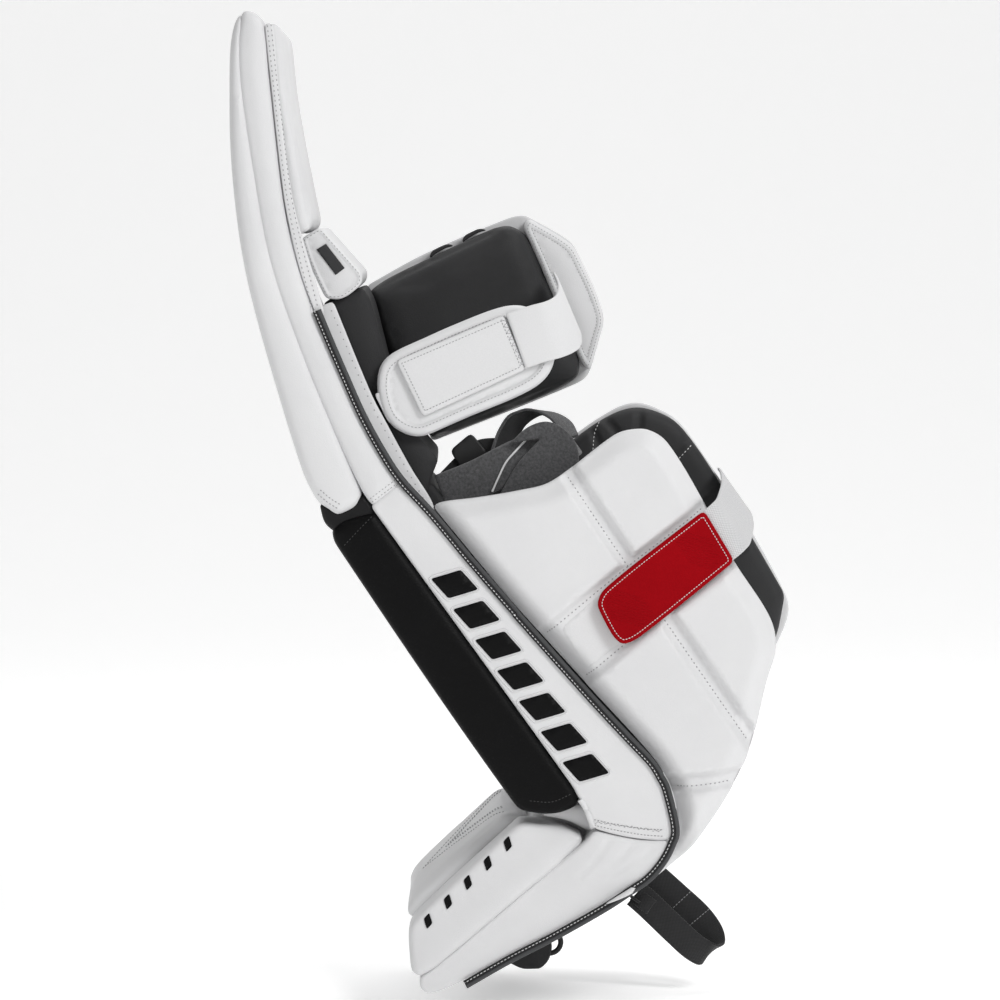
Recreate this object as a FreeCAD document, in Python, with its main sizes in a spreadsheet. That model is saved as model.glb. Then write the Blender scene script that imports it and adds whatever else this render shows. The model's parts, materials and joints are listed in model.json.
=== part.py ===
import FreeCAD, Part
import math
import os
import re

import Sketcher

# Ice hockey goalie's leg pad, worn on the left leg and kept in the bend it is worn in.
# +X points to the back of the leg, +Y to the inner side of the leg and +Z up.
# The origin is on the leg channel's liner, half way up the shin.
# Three stiff sections each have a frame of their own: "across" runs from the face to the
# back of the pad, "up" runs along the pad towards the thigh.

drivingSizes = {
    # lean of each section from upright, degrees
    "shin_lean": 35.4,
    "thigh_lean": 13,
    "boot_lean": 47,
    # where the sections meet, in the shin's own frame
    "leg_line": 100,
    "knee_depth": 74,
    "knee_line": 146,
    "ankle_depth": 62.5,
    "ankle_line": 208,
    # lengths along the pad
    "thigh_rise": 426,
    "wedge_line": 206,
    "roll_foot": 161,
    "boot_length": 217,
    # widths
    "half_width": 140,
    "boot_room": 1,
    "roll_width": 46,
    "roll_depth": 43,
    "side_wall": 4,
    "piping_width": 5,
    "piping_proud": 3,
    "cover_gap": 0.5,
    "seat_gap": 0.3,
    "face_sheet": 19,
    "roll_proud": 5,
    # leg wraps
    "wrap_reach": 282,
    "far_wrap_reach": 305,
    "wrap_sheet": 10,
    "wrap_lining": 5,
    "far_lining": 12,
    # calf strap
    "strap_top": 20,
    "strap_width": 49,
    "web_sheet": 2.5,
    "tab_sheet": 3.5,
    "tab_reach": 126,
    # knee stack, wing and strap
    "stack_inset": 18.5,
    "block_thick": 52,
    "block_shell": 9,
    "block_reach": 177,
    "wing_inset": 18,
    "wing_thick": 13,
    "knee_web_low": 80,
    "knee_web_width": 50,
    # webbing and cord
    "boot_web_reach": 142,
    "boot_web_width": 26,
    "tie_ring": 10,
    "tie_cord": 2.5,
    # raised blocks on the side panel
    "mark_sheet": 1,
    "mark_pitch": 34,
    "mark_count": 7,
    # softened edges
    "soft_edge": 5,
    "fine_edge": 1,
}

doc = FreeCAD.newDocument("GoalieLegPad")
sheet = doc.addObject("Spreadsheet::Sheet", "Sizes")
for row, (name, value) in enumerate(drivingSizes.items(), start=1):
    sheet.set(f"A{row}", name)
    sheet.set(f"B{row}", str(value))
    sheet.setAlias(f"B{row}", name)
doc.recompute()

mathWords = "min|max|sin|cos"
subParts = []


def bound(size):
    """Expression text with every sheet alias made a reference to the sheet."""
    return re.sub(rf"\b(?!(?:{mathWords})\b)([a-z][a-z_]+)", r"Sizes.\1", str(size))


# Each section's turn about Y and the place of its frame's origin.
leanCos = "cos(shin_lean)"
leanSin = "sin(shin_lean)"
sections = {
    "shin": ("-shin_lean", f"-leg_line * {leanCos}", f"-leg_line * {leanSin}"),
    "thigh": (
        "-thigh_lean",
        f"(knee_depth - leg_line) * {leanCos} - knee_line * {leanSin}",
        f"(knee_depth - leg_line) * {leanSin} + knee_line * {leanCos}",
    ),
    "boot": (
        "boot_lean",
        f"(ankle_depth - leg_line) * {leanCos} + ankle_line * {leanSin}",
        f"(ankle_depth - leg_line) * {leanSin} - ankle_line * {leanCos}",
    ),
}


def seat(item, section):
    """Put a sub-part that was drawn in its section's frame where the section is."""
    turn, baseX, baseZ = sections[section]
    item.Placement = FreeCAD.Placement(FreeCAD.Vector(), FreeCAD.Rotation(FreeCAD.Vector(0, 1, 0), 1))
    item.setExpression("Placement.Rotation.Angle", bound(turn))
    item.setExpression("Placement.Base.x", bound(baseX))
    item.setExpression("Placement.Base.z", bound(baseZ))
    subParts.append(item)


def originPlane(body, role):
    return next(item for item in body.Origin.OriginFeatures if item.Role == role)


def drawOutline(body, role, corners, offset):
    """Closed sketch whose corners are held at their distances from the section's origin."""
    sketch = body.newObject("Sketcher::SketchObject", body.Label + "_outline")
    sketch.AttachmentSupport = [(originPlane(body, role), "")]
    sketch.MapMode = "FlatFace"
    sketch.setExpression("AttachmentOffset.Base.z", bound(offset))
    count = len(corners)
    start = [
        FreeCAD.Vector(math.cos(2 * math.pi * k / count), math.sin(2 * math.pi * k / count)) * 100
        for k in range(count)
    ]
    for k in range(count):
        sketch.addGeometry(Part.LineSegment(start[k], start[(k + 1) % count]))
    for k in range(count):
        sketch.addConstraint(Sketcher.Constraint("Coincident", k, 2, (k + 1) % count, 1))
    for k, (across, up) in enumerate(corners):
        held = sketch.addConstraint(Sketcher.Constraint("DistanceX", -1, 1, k, 1, start[k].x))
        sketch.setExpression(f"Constraints[{held}]", bound(across))
        held = sketch.addConstraint(Sketcher.Constraint("DistanceY", -1, 1, k, 1, start[k].y))
        sketch.setExpression(f"Constraints[{held}]", bound(up))
    return sketch


def panel(label, section, corners, low, thickness, soften=None, side=None):
    """Flat piece cut in the plane of the leg's side, from low (its outer side's Y) inwards."""
    body = doc.addObject("PartDesign::Body", label)
    sketch = drawOutline(body, "XZ_Plane", corners, f"-({low})")
    pad = body.newObject("PartDesign::Pad", label + "_pad")
    pad.Profile = sketch
    pad.Reversed = True
    pad.setExpression("Length", bound(thickness))
    if soften:
        doc.recompute()
        softenEdges(body, pad, soften, side)
    seat(body, section)
    return body


def softenEdges(body, pad, radius, side):
    """Round the rim of the pad's outer ("low"), inner ("high") or both sides."""
    box = pad.Shape.BoundBox
    levels = {"low": [box.YMin], "high": [box.YMax], "both": [box.YMin, box.YMax]}[side]
    rim = [
        f"Edge{k}"
        for k, edge in enumerate(pad.Shape.Edges, start=1)
        for level in levels
        if all(abs(vertex.Y - level) < 1e-4 for vertex in edge.Vertexes)
    ]
    fillet = body.newObject("PartDesign::Fillet", body.Label + "_rim")
    fillet.Base = (pad, rim)
    fillet.setExpression("Radius", bound(radius))


def band(label, section, corners, low, width):
    """Webbing or felt whose thin outline is seen along the pad, width upwards from low."""
    body = doc.addObject("PartDesign::Body", label)
    sketch = drawOutline(body, "XY_Plane", corners, low)
    pad = body.newObject("PartDesign::Pad", label + "_pad")
    pad.Profile = sketch
    pad.setExpression("Length", bound(width))
    seat(body, section)
    return body


# ---- thigh rise -------------------------------------------------------------------

nearSide = "-half_width"
flangeLow = "-half_width + 14"
rollInner = "-half_width + roll_width"
behindRoll = f"{rollInner} + cover_gap"
farInner = "half_width - side_wall - cover_gap"
behindRollWidth = "2 * half_width - roll_width - side_wall - 2 * cover_gap"



def rise(share):
    """Height of a place on the free part of the rise, as a share of the way from wedge to tip."""
    return f"wedge_line + (thigh_rise - wedge_line) * {share}"


# Front of the rise, from the knee up to the tip.
riseFront = [
    (-34, 2), (-58, -9), (-74, 4), (-79, 30), (-84, 95), (-88, 185), (-86, rise(0.155)),
    (-77, rise(0.473)), (-64, rise(0.745)), (-53, rise(0.895)),
]
# Groove between the two rolls, from the tip down.
riseGroove = [
    (-47, rise(0.905)), (-54, rise(0.736)), (-60, rise(0.432)), (-64, rise(0.041)), (-56, 133), (-42, 50),
]
# Tip of the rise, over both rolls.
riseTip = [(-30, "thigh_rise - 3"), (-39, "thigh_rise"), (-47, "thigh_rise - 12")]
# Back of the rise, from the knee up.
riseBack = [
    (0, 5), (-10, 31), (-20, 67), (-27, 103), (-33, 136), (-38, 163), (-43, rise(0.036)),
    (-42, rise(0.255)), (-35, rise(0.527)), (-30, rise(0.727)), (-24, rise(0.936)),
]


def shifted(corners, across, up=0):
    return [(f"{a} + ({across})", f"{b} + ({up})") for a, b in corners]


panel("thigh_front_roll", "thigh", riseFront + riseGroove, nearSide, "roll_width", "soft_edge / 2", "low")
panel("thigh_rear_roll", "thigh",
      shifted([(-34, 2)], "cover_gap") + riseBack + riseTip + shifted(riseGroove, "cover_gap"),
      nearSide, "roll_width", "soft_edge / 2", "low")
panel("thigh_face_panel", "thigh",
      shifted(riseFront[1:-1], "roll_proud", 2) + [(-54, rise(0.782))] + riseGroove[1:],
      behindRoll, behindRollWidth)
panel("thigh_core", "thigh",
      [(-33, 4)] + shifted(riseBack, "-1") + shifted(riseTip, 0, -2) + shifted(riseGroove, "cover_gap"),
      behindRoll, behindRollWidth)
panel("thigh_inner_wall", "thigh", riseFront[1:] + list(reversed(riseTip)) + list(reversed(riseBack)),
      "half_width - side_wall", "side_wall")
# Quilted back of the rise and the sewn binding at its outer edge.
panel("thigh_back_panel", "thigh",
      [(-42.2, "wedge_line + 22"), (-41.2, rise(0.255)), (-34.2, rise(0.527)), (-29.2, rise(0.727)),
       (-23.4, rise(0.936)), (-12, rise(0.936)), (-20, rise(0.65)), (-24, rise(0.236)),
       (-24, "wedge_line + 24")],
      "-half_width + piping_width + cover_gap", "2 * half_width - 2 * piping_width - 2 * cover_gap")
panel("thigh_binding", "thigh",
      [(-42.4, rise(0.036)), (-41.4, rise(0.255)), (-34.4, rise(0.527)), (-29.4, rise(0.727)),
       (-23.6, rise(0.936)), (-16.5, rise(0.927)), (-27.5, rise(0.573)), (-34.3, rise(0.241)),
       (-35, rise(0.036))],
      nearSide, "piping_width")
# Padded wedge under the rise, with a blank care tag sewn to its outer end.
panel("knee_wedge", "thigh",
      [(-34, "wedge_line"), (-34, "wedge_line + 16"), (-14, "wedge_line + 23"), (6, "wedge_line - 20"),
       (6, "wedge_line - 25"), (-5, "wedge_line - 34"), (-30, "wedge_line - 34")],
      "-half_width + 22", "2 * half_width - 44", "soft_edge / 2", "low")
panel("care_tag", "thigh",
      [(-25, "wedge_line + 8"), (-16, "wedge_line + 11"), (-5, "wedge_line - 13"), (-14, "wedge_line - 17")],
      "-half_width + 22 - fine_edge", "fine_edge - 0.2")
# Dark liner of the knee channel and the white flange that the straps are laced to.
panel("knee_liner", "thigh",
      [(-30, 168), (0, 170), (3, 150), (8, 106), (25, 34), (24, 13), (2, 7), (-7, 31), (-17, 67), (-24, 103),
       (-30, 136)],
      "-half_width + 33", "2 * half_width - 66")
panel("thigh_flange", "thigh",
      [(-36, 165), (-21, 168), (-7, 82), (0, 55), (12, 12), (2, 6), (-8, 31), (-18, 67), (-25, 103),
       (-31, 136)],
      flangeLow, "6")


def pipingRun(label, section, line, side):
    """Corded edge that follows line on the outer side of the section, half of it proud."""
    behind = [(f"{across} + piping_width", up) for across, up in reversed(line)]
    panel(label, section, shifted(line, "cover_gap") + behind, f"-({side}) - piping_proud", "2 * piping_proud")


thighPiping = [(-38, 165), (-33, 136), (-27, 103), (-20, 67), (-10, 31), (0, 6)]
pipingRun("thigh_piping", "thigh", list(reversed(thighPiping)), "half_width")

# ---- shin ------------------------------------------------------------------------

shinBack = [(75, 147), (80, 111), (88, 15), (100, -89), (109, -169), (106, -196)]
panel("shin_outer_roll", "shin",
      [(0, "knee_line - 9"), ("roll_depth", "knee_line"), ("roll_depth", "-roll_foot"),
       (22, "-roll_foot + 4"), (2, "-roll_foot + 20")],
      nearSide, "roll_width", "soft_edge", "low")
panel("shin_side_panel", "shin",
      [("roll_depth + cover_gap", "knee_line - 1"), (73, "knee_line + 1")] + shinBack[1:]
      + [(101, -213), (84, -229), ("ankle_depth", "-ankle_line + 3"), ("roll_depth - 3", -184),
         ("roll_depth + cover_gap", "-roll_foot + 3")],
      nearSide, "roll_width", "soft_edge / 2", "low")
panel("shin_face_panel", "shin",
      [("roll_proud", "knee_line - 9"), ("roll_proud + face_sheet", "knee_line - 5"),
       ("roll_proud + face_sheet", "-roll_foot + 10"), ("roll_proud", "-roll_foot + 22")],
      behindRoll, behindRollWidth)
panel("shin_core", "shin",
      [("roll_proud + face_sheet + cover_gap", "knee_line - 5"), (73, "knee_line")]
      + shifted(shinBack[1:], "-cover_gap")
      + [(100, -212), (84, -227), ("ankle_depth", "-ankle_line + 4"), (41, -183),
         ("roll_proud + face_sheet + cover_gap", "-roll_foot + 10")],
      behindRoll, behindRollWidth)
panel("shin_inner_wall", "shin",
      [(2, "knee_line - 9"), (73, "knee_line + 1")] + shinBack[1:]
      + [(101, -213), (84, -229), ("ankle_depth", "-ankle_line + 3"), (40, -184),
         (24, "-roll_foot + 6"), (3, "-roll_foot + 20")],
      "half_width - side_wall", "side_wall")
# Gathered stretch fabric across the knee break, seen between the rolls.
panel("knee_break_fabric", "shin",
      [(12, "knee_line - 5.5"), (38, "knee_line - 0.2"), (38, "knee_line + 2.8"),
       (12, "knee_line - 2.5")],
      "-half_width + 6", "2 * half_width - 12")
panel("leg_channel_liner", "shin",
      [(80, 138), (96, 132), ("leg_line", 0), (117, -190), (108.5, -192), (110, -169), (101, -89),
       (89, 15), (81, 111)],
      "-half_width + 40", "2 * half_width - 80")
panel("shin_flange", "shin",
      [(82, 138), (90, 136), (87, 119), (85.5, 112), (82, 112)],
      flangeLow, "6")
shinPiping = [(75, 145), (80, 111), (88, 15), (100, -89), (109, -169), (106, -196), (101, -212)]
pipingRun("shin_piping", "shin", list(reversed(shinPiping)), "half_width")

# Row of plain slanted blocks, raised on the side panel.
mark = doc.addObject("PartDesign::Body", "side_panel_blocks")
markSketch = drawOutline(
    mark, "XZ_Plane",
    [("roll_depth + 9", 70), (76, 80), (80, 57), ("roll_depth + 13", 47)],
    "half_width + seat_gap")
markPad = mark.newObject("PartDesign::Pad", "side_panel_blocks_pad")
markPad.Profile = markSketch
markPad.setExpression("Length", bound("mark_sheet"))
markRow = mark.newObject("PartDesign::LinearPattern", "side_panel_blocks_row")
markRow.Originals = [markPad]
markRow.Direction = (markSketch, ["V_Axis"])
markRow.Reversed = True
markRow.setExpression("Length", bound("mark_pitch * (mark_count - 1)"))
markRow.setExpression("Occurrences", bound("mark_count"))
mark.Tip = markRow
seat(mark, "shin")

# ---- boot ------------------------------------------------------------------------

# The leg wraps' feet pass outside the boot and its piping.
bootHalf = "half_width - wrap_sheet - piping_proud - boot_room"
bootNear = f"-({bootHalf})"
bootBehind = f"-({bootHalf}) + roll_width + cover_gap"
bootWidth = f"2 * ({bootHalf}) - roll_width - side_wall - 2 * cover_gap"
bootBottom = [(33, 6), (35, -15), (32, -35), (29, -59), (18, -104), (6, -147),
              (-5, "-boot_length + 25"), (-13, "-boot_length + 3")]
bootSeam = [(-24, -27), (0, -3), (21, 12)]
panel("boot_outer_roll", "boot",
      [(-67, -66), (-26, -30), (-24, -42), (-27, -102), (-32, "-boot_length + 17"),
       (-40, "-boot_length"), (-63, "-boot_length + 19"), (-67, "-boot_length + 27")],
      bootNear, "roll_width", "soft_edge", "low")
panel("boot_side_panel", "boot",
      bootSeam + bootBottom
      + [(-20, "-boot_length - 2"), (-32, "-boot_length + 1"), (-31, "-boot_length + 17"),
         (-26, -102), (-23, -42)],
      bootNear, "roll_width", "soft_edge / 2", "low")
panel("boot_face_panel", "boot",
      [(-75, -72), (-58, -57), (-58, "-boot_length + 22"), (-71, "-boot_length + 20"),
       (-75, "-boot_length + 37")],
      bootBehind, bootWidth)
panel("boot_core", "boot",
      [(-57.5, -57)] + bootSeam + shifted(bootBottom, "-1")
      + [(-33, "-boot_length"), (-57.5, "-boot_length + 18")],
      bootBehind, bootWidth)
panel("boot_inner_wall", "boot",
      [(-73, -72)] + bootSeam + bootBottom
      + [(-20, "-boot_length - 2"), (-33, "-boot_length"), (-68, "-boot_length + 19")],
      f"{bootHalf} - side_wall", "side_wall")
pipingRun("boot_piping", "boot", list(reversed(bootBottom)), bootHalf)
panel("skate_channel_liner", "boot",
      [(35.5, -20), (42, -22), (38, -59), (27, -104), (15, -147), (7, "-boot_length + 37"),
       (0, "-boot_length + 37"), (7, -147), (19, -104), (30, -59)],
      f"-({bootHalf}) + 40", f"2 * ({bootHalf}) - 80")
panel("toe_anchor", "boot", [(20.5, -132), (30, -130), (32, -106), (27.5, -106)], "-8", "16")

# ---- leg wraps ---------------------------------------------------------------------

# Both wraps bend along a line that runs beside the piping.
wrapRoot = [(86, 117), (96, 114.5), (105, 109)]
wrapRootFoot = [(143, -240), (103, -251), (70, -256), (47, -257), (26, -255), (8, -247)]
wrapRootEdge = [(52, -251), (76, -246), (96, -232), (107, -217), (113.5, -197), (115, -169), (105.5, -89),
                (93.6, 15)]
wrapFlap = [(106, 108.5), (121, 101), (154, 85), (181, 75), ("wrap_reach - 31", 76),
            ("wrap_reach - 16", 70), ("wrap_reach - 7", 63), ("wrap_reach", 46),
            ("wrap_reach - 4", -15), ("wrap_reach - 12", -71), ("wrap_reach - 15", -130),
            ("wrap_reach - 26", -154), ("wrap_reach - 47", -171), (177, -219), (144, -240)]
farFlap = [(106, 108.5), (121, 101), (154, 88), (181, 81), ("far_wrap_reach - 58", 81),
           ("far_wrap_reach - 24", 74), ("far_wrap_reach - 6", 51), ("far_wrap_reach", 31),
           ("far_wrap_reach", -20), ("far_wrap_reach - 3", -75), ("far_wrap_reach - 12", -150),
           ("far_wrap_reach - 19", -166), ("far_wrap_reach - 46", -184), (177, -222), (144, -240)]
liningShape = [(116, 96), (156, 78), (183, 69), ("wrap_reach - 34", 69), ("wrap_reach - 14", 56),
               ("wrap_reach - 9", 36), ("wrap_reach - 18", -70), ("wrap_reach - 22", -128),
               ("wrap_reach - 52", -162), (176, -208), (150, -226)]
farLiningShape = [(116, 98), (156, 80), (183, 73), ("far_wrap_reach - 60", 73),
                  ("far_wrap_reach - 30", 66), ("far_wrap_reach - 13", 47), ("far_wrap_reach - 7", 29),
                  ("far_wrap_reach - 7", -20), ("far_wrap_reach - 18", -148), ("far_wrap_reach - 50", -176),
                  (176, -212), (150, -228)]
panel("lateral_wrap_root", "shin", wrapRoot + wrapRootFoot + wrapRootEdge,
      nearSide, "wrap_sheet", "fine_edge", "low")
panel("lateral_wrap", "shin", wrapFlap, nearSide, "wrap_sheet", "soft_edge * 0.8", "low")
panel("lateral_wrap_lining", "shin", liningShape,
      "-half_width + wrap_sheet + cover_gap", "wrap_lining")
panel("strap_landing", "shin",
      [(128, "-strap_top - 10"), ("wrap_reach - 9", "-strap_top - 2"),
       ("wrap_reach - 14", "-strap_top - strap_width + 1"), (134, "-strap_top - strap_width - 9")],
      "-half_width - 5 * seat_gap", "4 * seat_gap")
panel("medial_wrap_root", "shin", wrapRoot + wrapRootFoot + wrapRootEdge,
      "half_width - wrap_sheet", "wrap_sheet", "fine_edge", "high")
panel("medial_wrap", "shin", farFlap,
      "half_width - wrap_sheet", "wrap_sheet", "soft_edge * 0.8", "high")
panel("medial_wrap_lining", "shin", farLiningShape,
      "half_width - wrap_sheet - cover_gap - far_lining", "far_lining", "soft_edge * 0.8", "low")
panel("calf_strap_anchor", "shin",
      [("far_wrap_reach - 62", "-strap_top"), ("far_wrap_reach + 1", "-strap_top"),
       ("far_wrap_reach + 1", "-strap_top - strap_width"),
       ("far_wrap_reach - 62", "-strap_top - strap_width")],
      "half_width + seat_gap", "web_sheet")

# ---- calf strap: woven elastic round the back of the calf, with a leather tab ------------

strapLow = "-strap_top - strap_width"
strapFace = "-half_width - 7"
band("calf_strap_web", "shin",
     [("far_wrap_reach + 3.3", "half_width - 3"), ("far_wrap_reach + 5.8", "half_width - 3"),
      ("far_wrap_reach + 3", 60), ("wrap_reach + 7", "-half_width + 10"),
      ("wrap_reach", "-half_width - 5"), ("wrap_reach - 13", strapFace),
      ("wrap_reach - 13", f"{strapFace} + web_sheet"), ("wrap_reach - 1", "-half_width - 2.8"),
      ("wrap_reach + 4.5", "-half_width + 9"), ("far_wrap_reach + 0.5", 60)],
     strapLow, "strap_width")
panel("calf_strap_tab", "shin",
      [("wrap_reach - 8", "-strap_top"), ("wrap_reach - 12", f"{strapLow} - 2"),
       ("wrap_reach + 8 - tab_reach", f"{strapLow} - 8"), ("wrap_reach - 6 - tab_reach", f"{strapLow} - 5"),
       ("wrap_reach - 8 - tab_reach", f"{strapLow} + 6"), ("wrap_reach - 4 - tab_reach", "-strap_top - 13"),
       ("wrap_reach + 8 - tab_reach", "-strap_top - 6")],
      f"{strapFace} - seat_gap - tab_sheet", "tab_sheet", "fine_edge", "low")
panel("calf_strap_hook", "shin",
      [("wrap_reach - 22", "-strap_top - 6"), ("wrap_reach - 25", f"{strapLow} + 3"),
       ("wrap_reach + 6 - tab_reach", f"{strapLow} - 1"), ("wrap_reach + 8 - tab_reach", "-strap_top - 13")],
      strapFace, "web_sheet")

# ---- knee stack ----------------------------------------------------------------------

blockInner = "half_width - stack_inset - block_shell - cover_gap - block_thick"
knuckle = [(6, 167), (143, "knee_web_low + 117"), ("block_reach - 23", "knee_web_low + 108"),
           ("block_reach - 15", "knee_web_low + 71"), ("block_reach", 60), ("block_reach - 1", 52),
           ("block_reach - 6", 48), (123, 40), (31, 25), (11, 106)]
panel("knee_block", "thigh", knuckle, blockInner, "block_thick", "soft_edge", "low")
panel("knee_block_shell", "thigh",
      [(5, 172), (62, 188), (147, 203), (160, 202), ("block_reach + 17", 170), ("block_reach + 22", 157),
       ("block_reach + 32", 98), ("block_reach + 22", 75), ("block_reach + 7", 48),
       ("block_reach - 5", 42), (31, 20)],
      "half_width - stack_inset - block_shell", "block_shell", "soft_edge * 0.6", "high")
panel("knee_block_cap", "thigh",
      [("block_reach - 22", 191), ("block_reach - 16", 199), ("block_reach + 16", 168),
       ("block_reach + 21", 156), ("block_reach + 31", 98), ("block_reach + 22", 77),
       ("block_reach + 8", 52), ("block_reach + 2", 58), ("block_reach - 14", 151)],
      f"{blockInner} + 10", "block_thick - 10", "soft_edge / 2", "low")
for number, (across, up) in enumerate(((66, 182), (98, 189)), start=1):
    panel(f"knee_block_loop_{number}", "thigh",
          [(across, up), (across + 2, up + 7), (across + 20, up + 11), (across + 26, up + 6.5),
           (across + 20, up + 7.5), (across + 4, up + 3)],
          f"{blockInner} + block_thick / 2", "20")
panel("knee_strap_anchor", "thigh",
      [("block_reach - 8", "knee_web_low + 6"), ("block_reach + 4", "knee_web_low + 6"),
       ("block_reach - 2", "knee_web_low + 46"), ("block_reach - 11", "knee_web_low + 46")],
      f"{blockInner} - web_sheet - 2 * seat_gap", "web_sheet")

# ---- knee wing and strap -----------------------------------------------------------------

wingSide = "-half_width + wing_inset"
strapOver = f"{wingSide} - 5"
panel("knee_wing", "thigh",
      [(4, 76), (7, 88), (18, 104), (41, 110), (118, 123), (138, 116), (150, 96), (155, 78), (145, 64),
       (115, 53), (67, 45.5), (25, 38), (9, 51)],
      wingSide, "wing_thick", "soft_edge", "low")
panel("knee_wing_hinge", "thigh", [(-5, 83), (3, 82), (7, 55), (2, 54)], f"{flangeLow} + 6", "5")
panel("knee_strap_tab", "thigh", [(20, 105), (32, 56), (127, 76), (119, 123)],
      f"{wingSide} - 1 - tab_sheet", "tab_sheet", "fine_edge", "low")
band("knee_strap_web", "thigh",
     [(121, strapOver), (121, f"{strapOver} - 3"), (152, f"{strapOver} - 3"),
      (168, f"{wingSide} + 6"), ("block_reach + 1", f"{wingSide} + 62"),
      ("block_reach + 2", f"{blockInner} - 8"), ("block_reach - 1", f"{blockInner} - 8"),
      ("block_reach - 2", f"{wingSide} + 62"), (165, f"{wingSide} + 8"), (151, strapOver)],
     "knee_web_low", "knee_web_width")

# ---- inner felt strap and its buckle --------------------------------------------------------

# The strap runs from the outer lining to the inner one, in the mouth of the leg channel.
feltOuter = "-half_width + 42"
band("inner_felt_strap", "shin",
     [(112, feltOuter), (178, f"{feltOuter} + 12"), (206, f"{feltOuter} + 46"), (214, 0),
      (210, "half_width - 42"), (204, "half_width - 42"), (208, 2), (200, f"{feltOuter} + 50"),
      (174, f"{feltOuter} + 18"), (112, f"{feltOuter} + 6")],
     70, 33)
band("felt_pull_loop", "shin",
     [(172, f"{feltOuter} + 24"), (194, f"{feltOuter} + 52"), (200, f"{feltOuter} + 94"),
      (176, f"{feltOuter} + 92"), (150, f"{feltOuter} + 58"), (150, f"{feltOuter} + 54"),
      (178, f"{feltOuter} + 88"), (196, f"{feltOuter} + 90"), (190, f"{feltOuter} + 54"),
      (168, f"{feltOuter} + 26")],
     92, 28)
panel("buckle_web", "shin", [(100, 116), (100, 132), (146, 138), (166, 128), (160, 116), (140, 122)],
      f"{feltOuter} + 36", "web_sheet")
panel("slide_buckle", "shin", [(122, 120), (124, 144), (148, 146), (150, 122)],
      f"{feltOuter} + 32", "tab_sheet")

# ---- boot strap and toe tie ----------------------------------------------------------------------

band("boot_strap_web", "boot",
     [(44, -4), ("boot_web_reach - 5", -4), ("boot_web_reach", 1), ("boot_web_reach - 5", 7), (72, 7),
      (72, 4.5), ("boot_web_reach - 6", 4.5), ("boot_web_reach - 3", 1.5), ("boot_web_reach - 6", -1.5),
      (44, -1.5)],
     "-8 - boot_web_width", "boot_web_width")
panel("boot_strap_buckle", "boot", [(46, -36), (46, -6), (60, -6), (60, -36)], "-1", "4")
tieRing = doc.addObject("Part::Torus", "toe_tie_loop")
tieRing.setExpression("Radius1", bound("tie_ring"))
tieRing.setExpression("Radius2", bound("tie_cord"))
tieConnector = panel("toe_tie_connector", "boot", [(24, -172), (50, -166), (46, -150), (20, -156)],
                     "-6", "12", "fine_edge * 2", "both")

doc.recompute()
subParts.append(tieRing)
tieRing.Placement = tieConnector.Placement * FreeCAD.Placement(
    FreeCAD.Vector(44.5, 0, -128), FreeCAD.Rotation(FreeCAD.Vector(1, 0, 0), 90))
doc.recompute()

failed = [item.Label for item in doc.Objects if {"Invalid", "Error"} & set(item.State)]
failed += [item.Label for item in subParts if item.Shape.isNull() or not item.Shape.isValid()]
if failed:
    raise SystemExit(f"failed: {failed}")
os.makedirs("parts", exist_ok=True)
for item in subParts:
    item.Shape.exportStep(f"parts/{item.Label}.step")
print(len(subParts), "sub-parts")
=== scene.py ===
import json
import math
import bmesh
import bpy
import numpy as np
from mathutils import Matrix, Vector
from mathutils.bvhtree import BVHTree
from mathutils.geometry import delaunay_2d_cdt


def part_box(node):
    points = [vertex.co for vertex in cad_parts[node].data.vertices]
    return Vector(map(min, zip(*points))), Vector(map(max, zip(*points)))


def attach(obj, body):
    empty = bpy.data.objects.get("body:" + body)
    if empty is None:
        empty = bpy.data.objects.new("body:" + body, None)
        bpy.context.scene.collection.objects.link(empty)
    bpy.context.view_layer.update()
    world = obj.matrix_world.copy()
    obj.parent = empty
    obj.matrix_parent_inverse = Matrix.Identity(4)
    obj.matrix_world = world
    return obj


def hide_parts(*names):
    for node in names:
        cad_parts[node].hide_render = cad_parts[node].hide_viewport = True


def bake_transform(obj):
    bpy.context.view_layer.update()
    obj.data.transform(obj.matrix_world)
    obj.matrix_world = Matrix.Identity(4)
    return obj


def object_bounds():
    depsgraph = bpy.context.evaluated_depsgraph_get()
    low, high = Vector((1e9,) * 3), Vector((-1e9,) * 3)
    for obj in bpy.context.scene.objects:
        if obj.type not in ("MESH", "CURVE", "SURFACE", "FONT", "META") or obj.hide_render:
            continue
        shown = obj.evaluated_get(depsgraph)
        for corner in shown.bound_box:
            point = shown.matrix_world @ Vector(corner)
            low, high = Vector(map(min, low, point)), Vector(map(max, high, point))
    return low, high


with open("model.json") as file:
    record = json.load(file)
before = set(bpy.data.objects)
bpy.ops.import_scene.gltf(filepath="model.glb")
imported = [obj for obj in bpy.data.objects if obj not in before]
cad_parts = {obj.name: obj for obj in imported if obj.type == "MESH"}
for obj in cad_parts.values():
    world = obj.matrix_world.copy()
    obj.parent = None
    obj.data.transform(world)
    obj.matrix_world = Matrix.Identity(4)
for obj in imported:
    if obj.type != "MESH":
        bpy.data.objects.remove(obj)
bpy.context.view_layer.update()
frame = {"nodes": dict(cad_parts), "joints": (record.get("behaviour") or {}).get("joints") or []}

# A goalie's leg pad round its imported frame. Lengths are in millimetres until toWorld turns them to metres.
metre = 0.001  # a millimetre in metres
jointNamed = {joint["name"]: joint for joint in frame["joints"]}


# Sections: across runs from the face to the back of the pad, up runs along it.
legLine = 100  # the liner stands this far behind the shin's front line


def makeSection(origin, up):
    upward = Vector(up).normalized()
    back = Vector((upward.z, 0, -upward.x))
    return {"origin": Vector(origin), "up": upward, "back": back}


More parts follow.
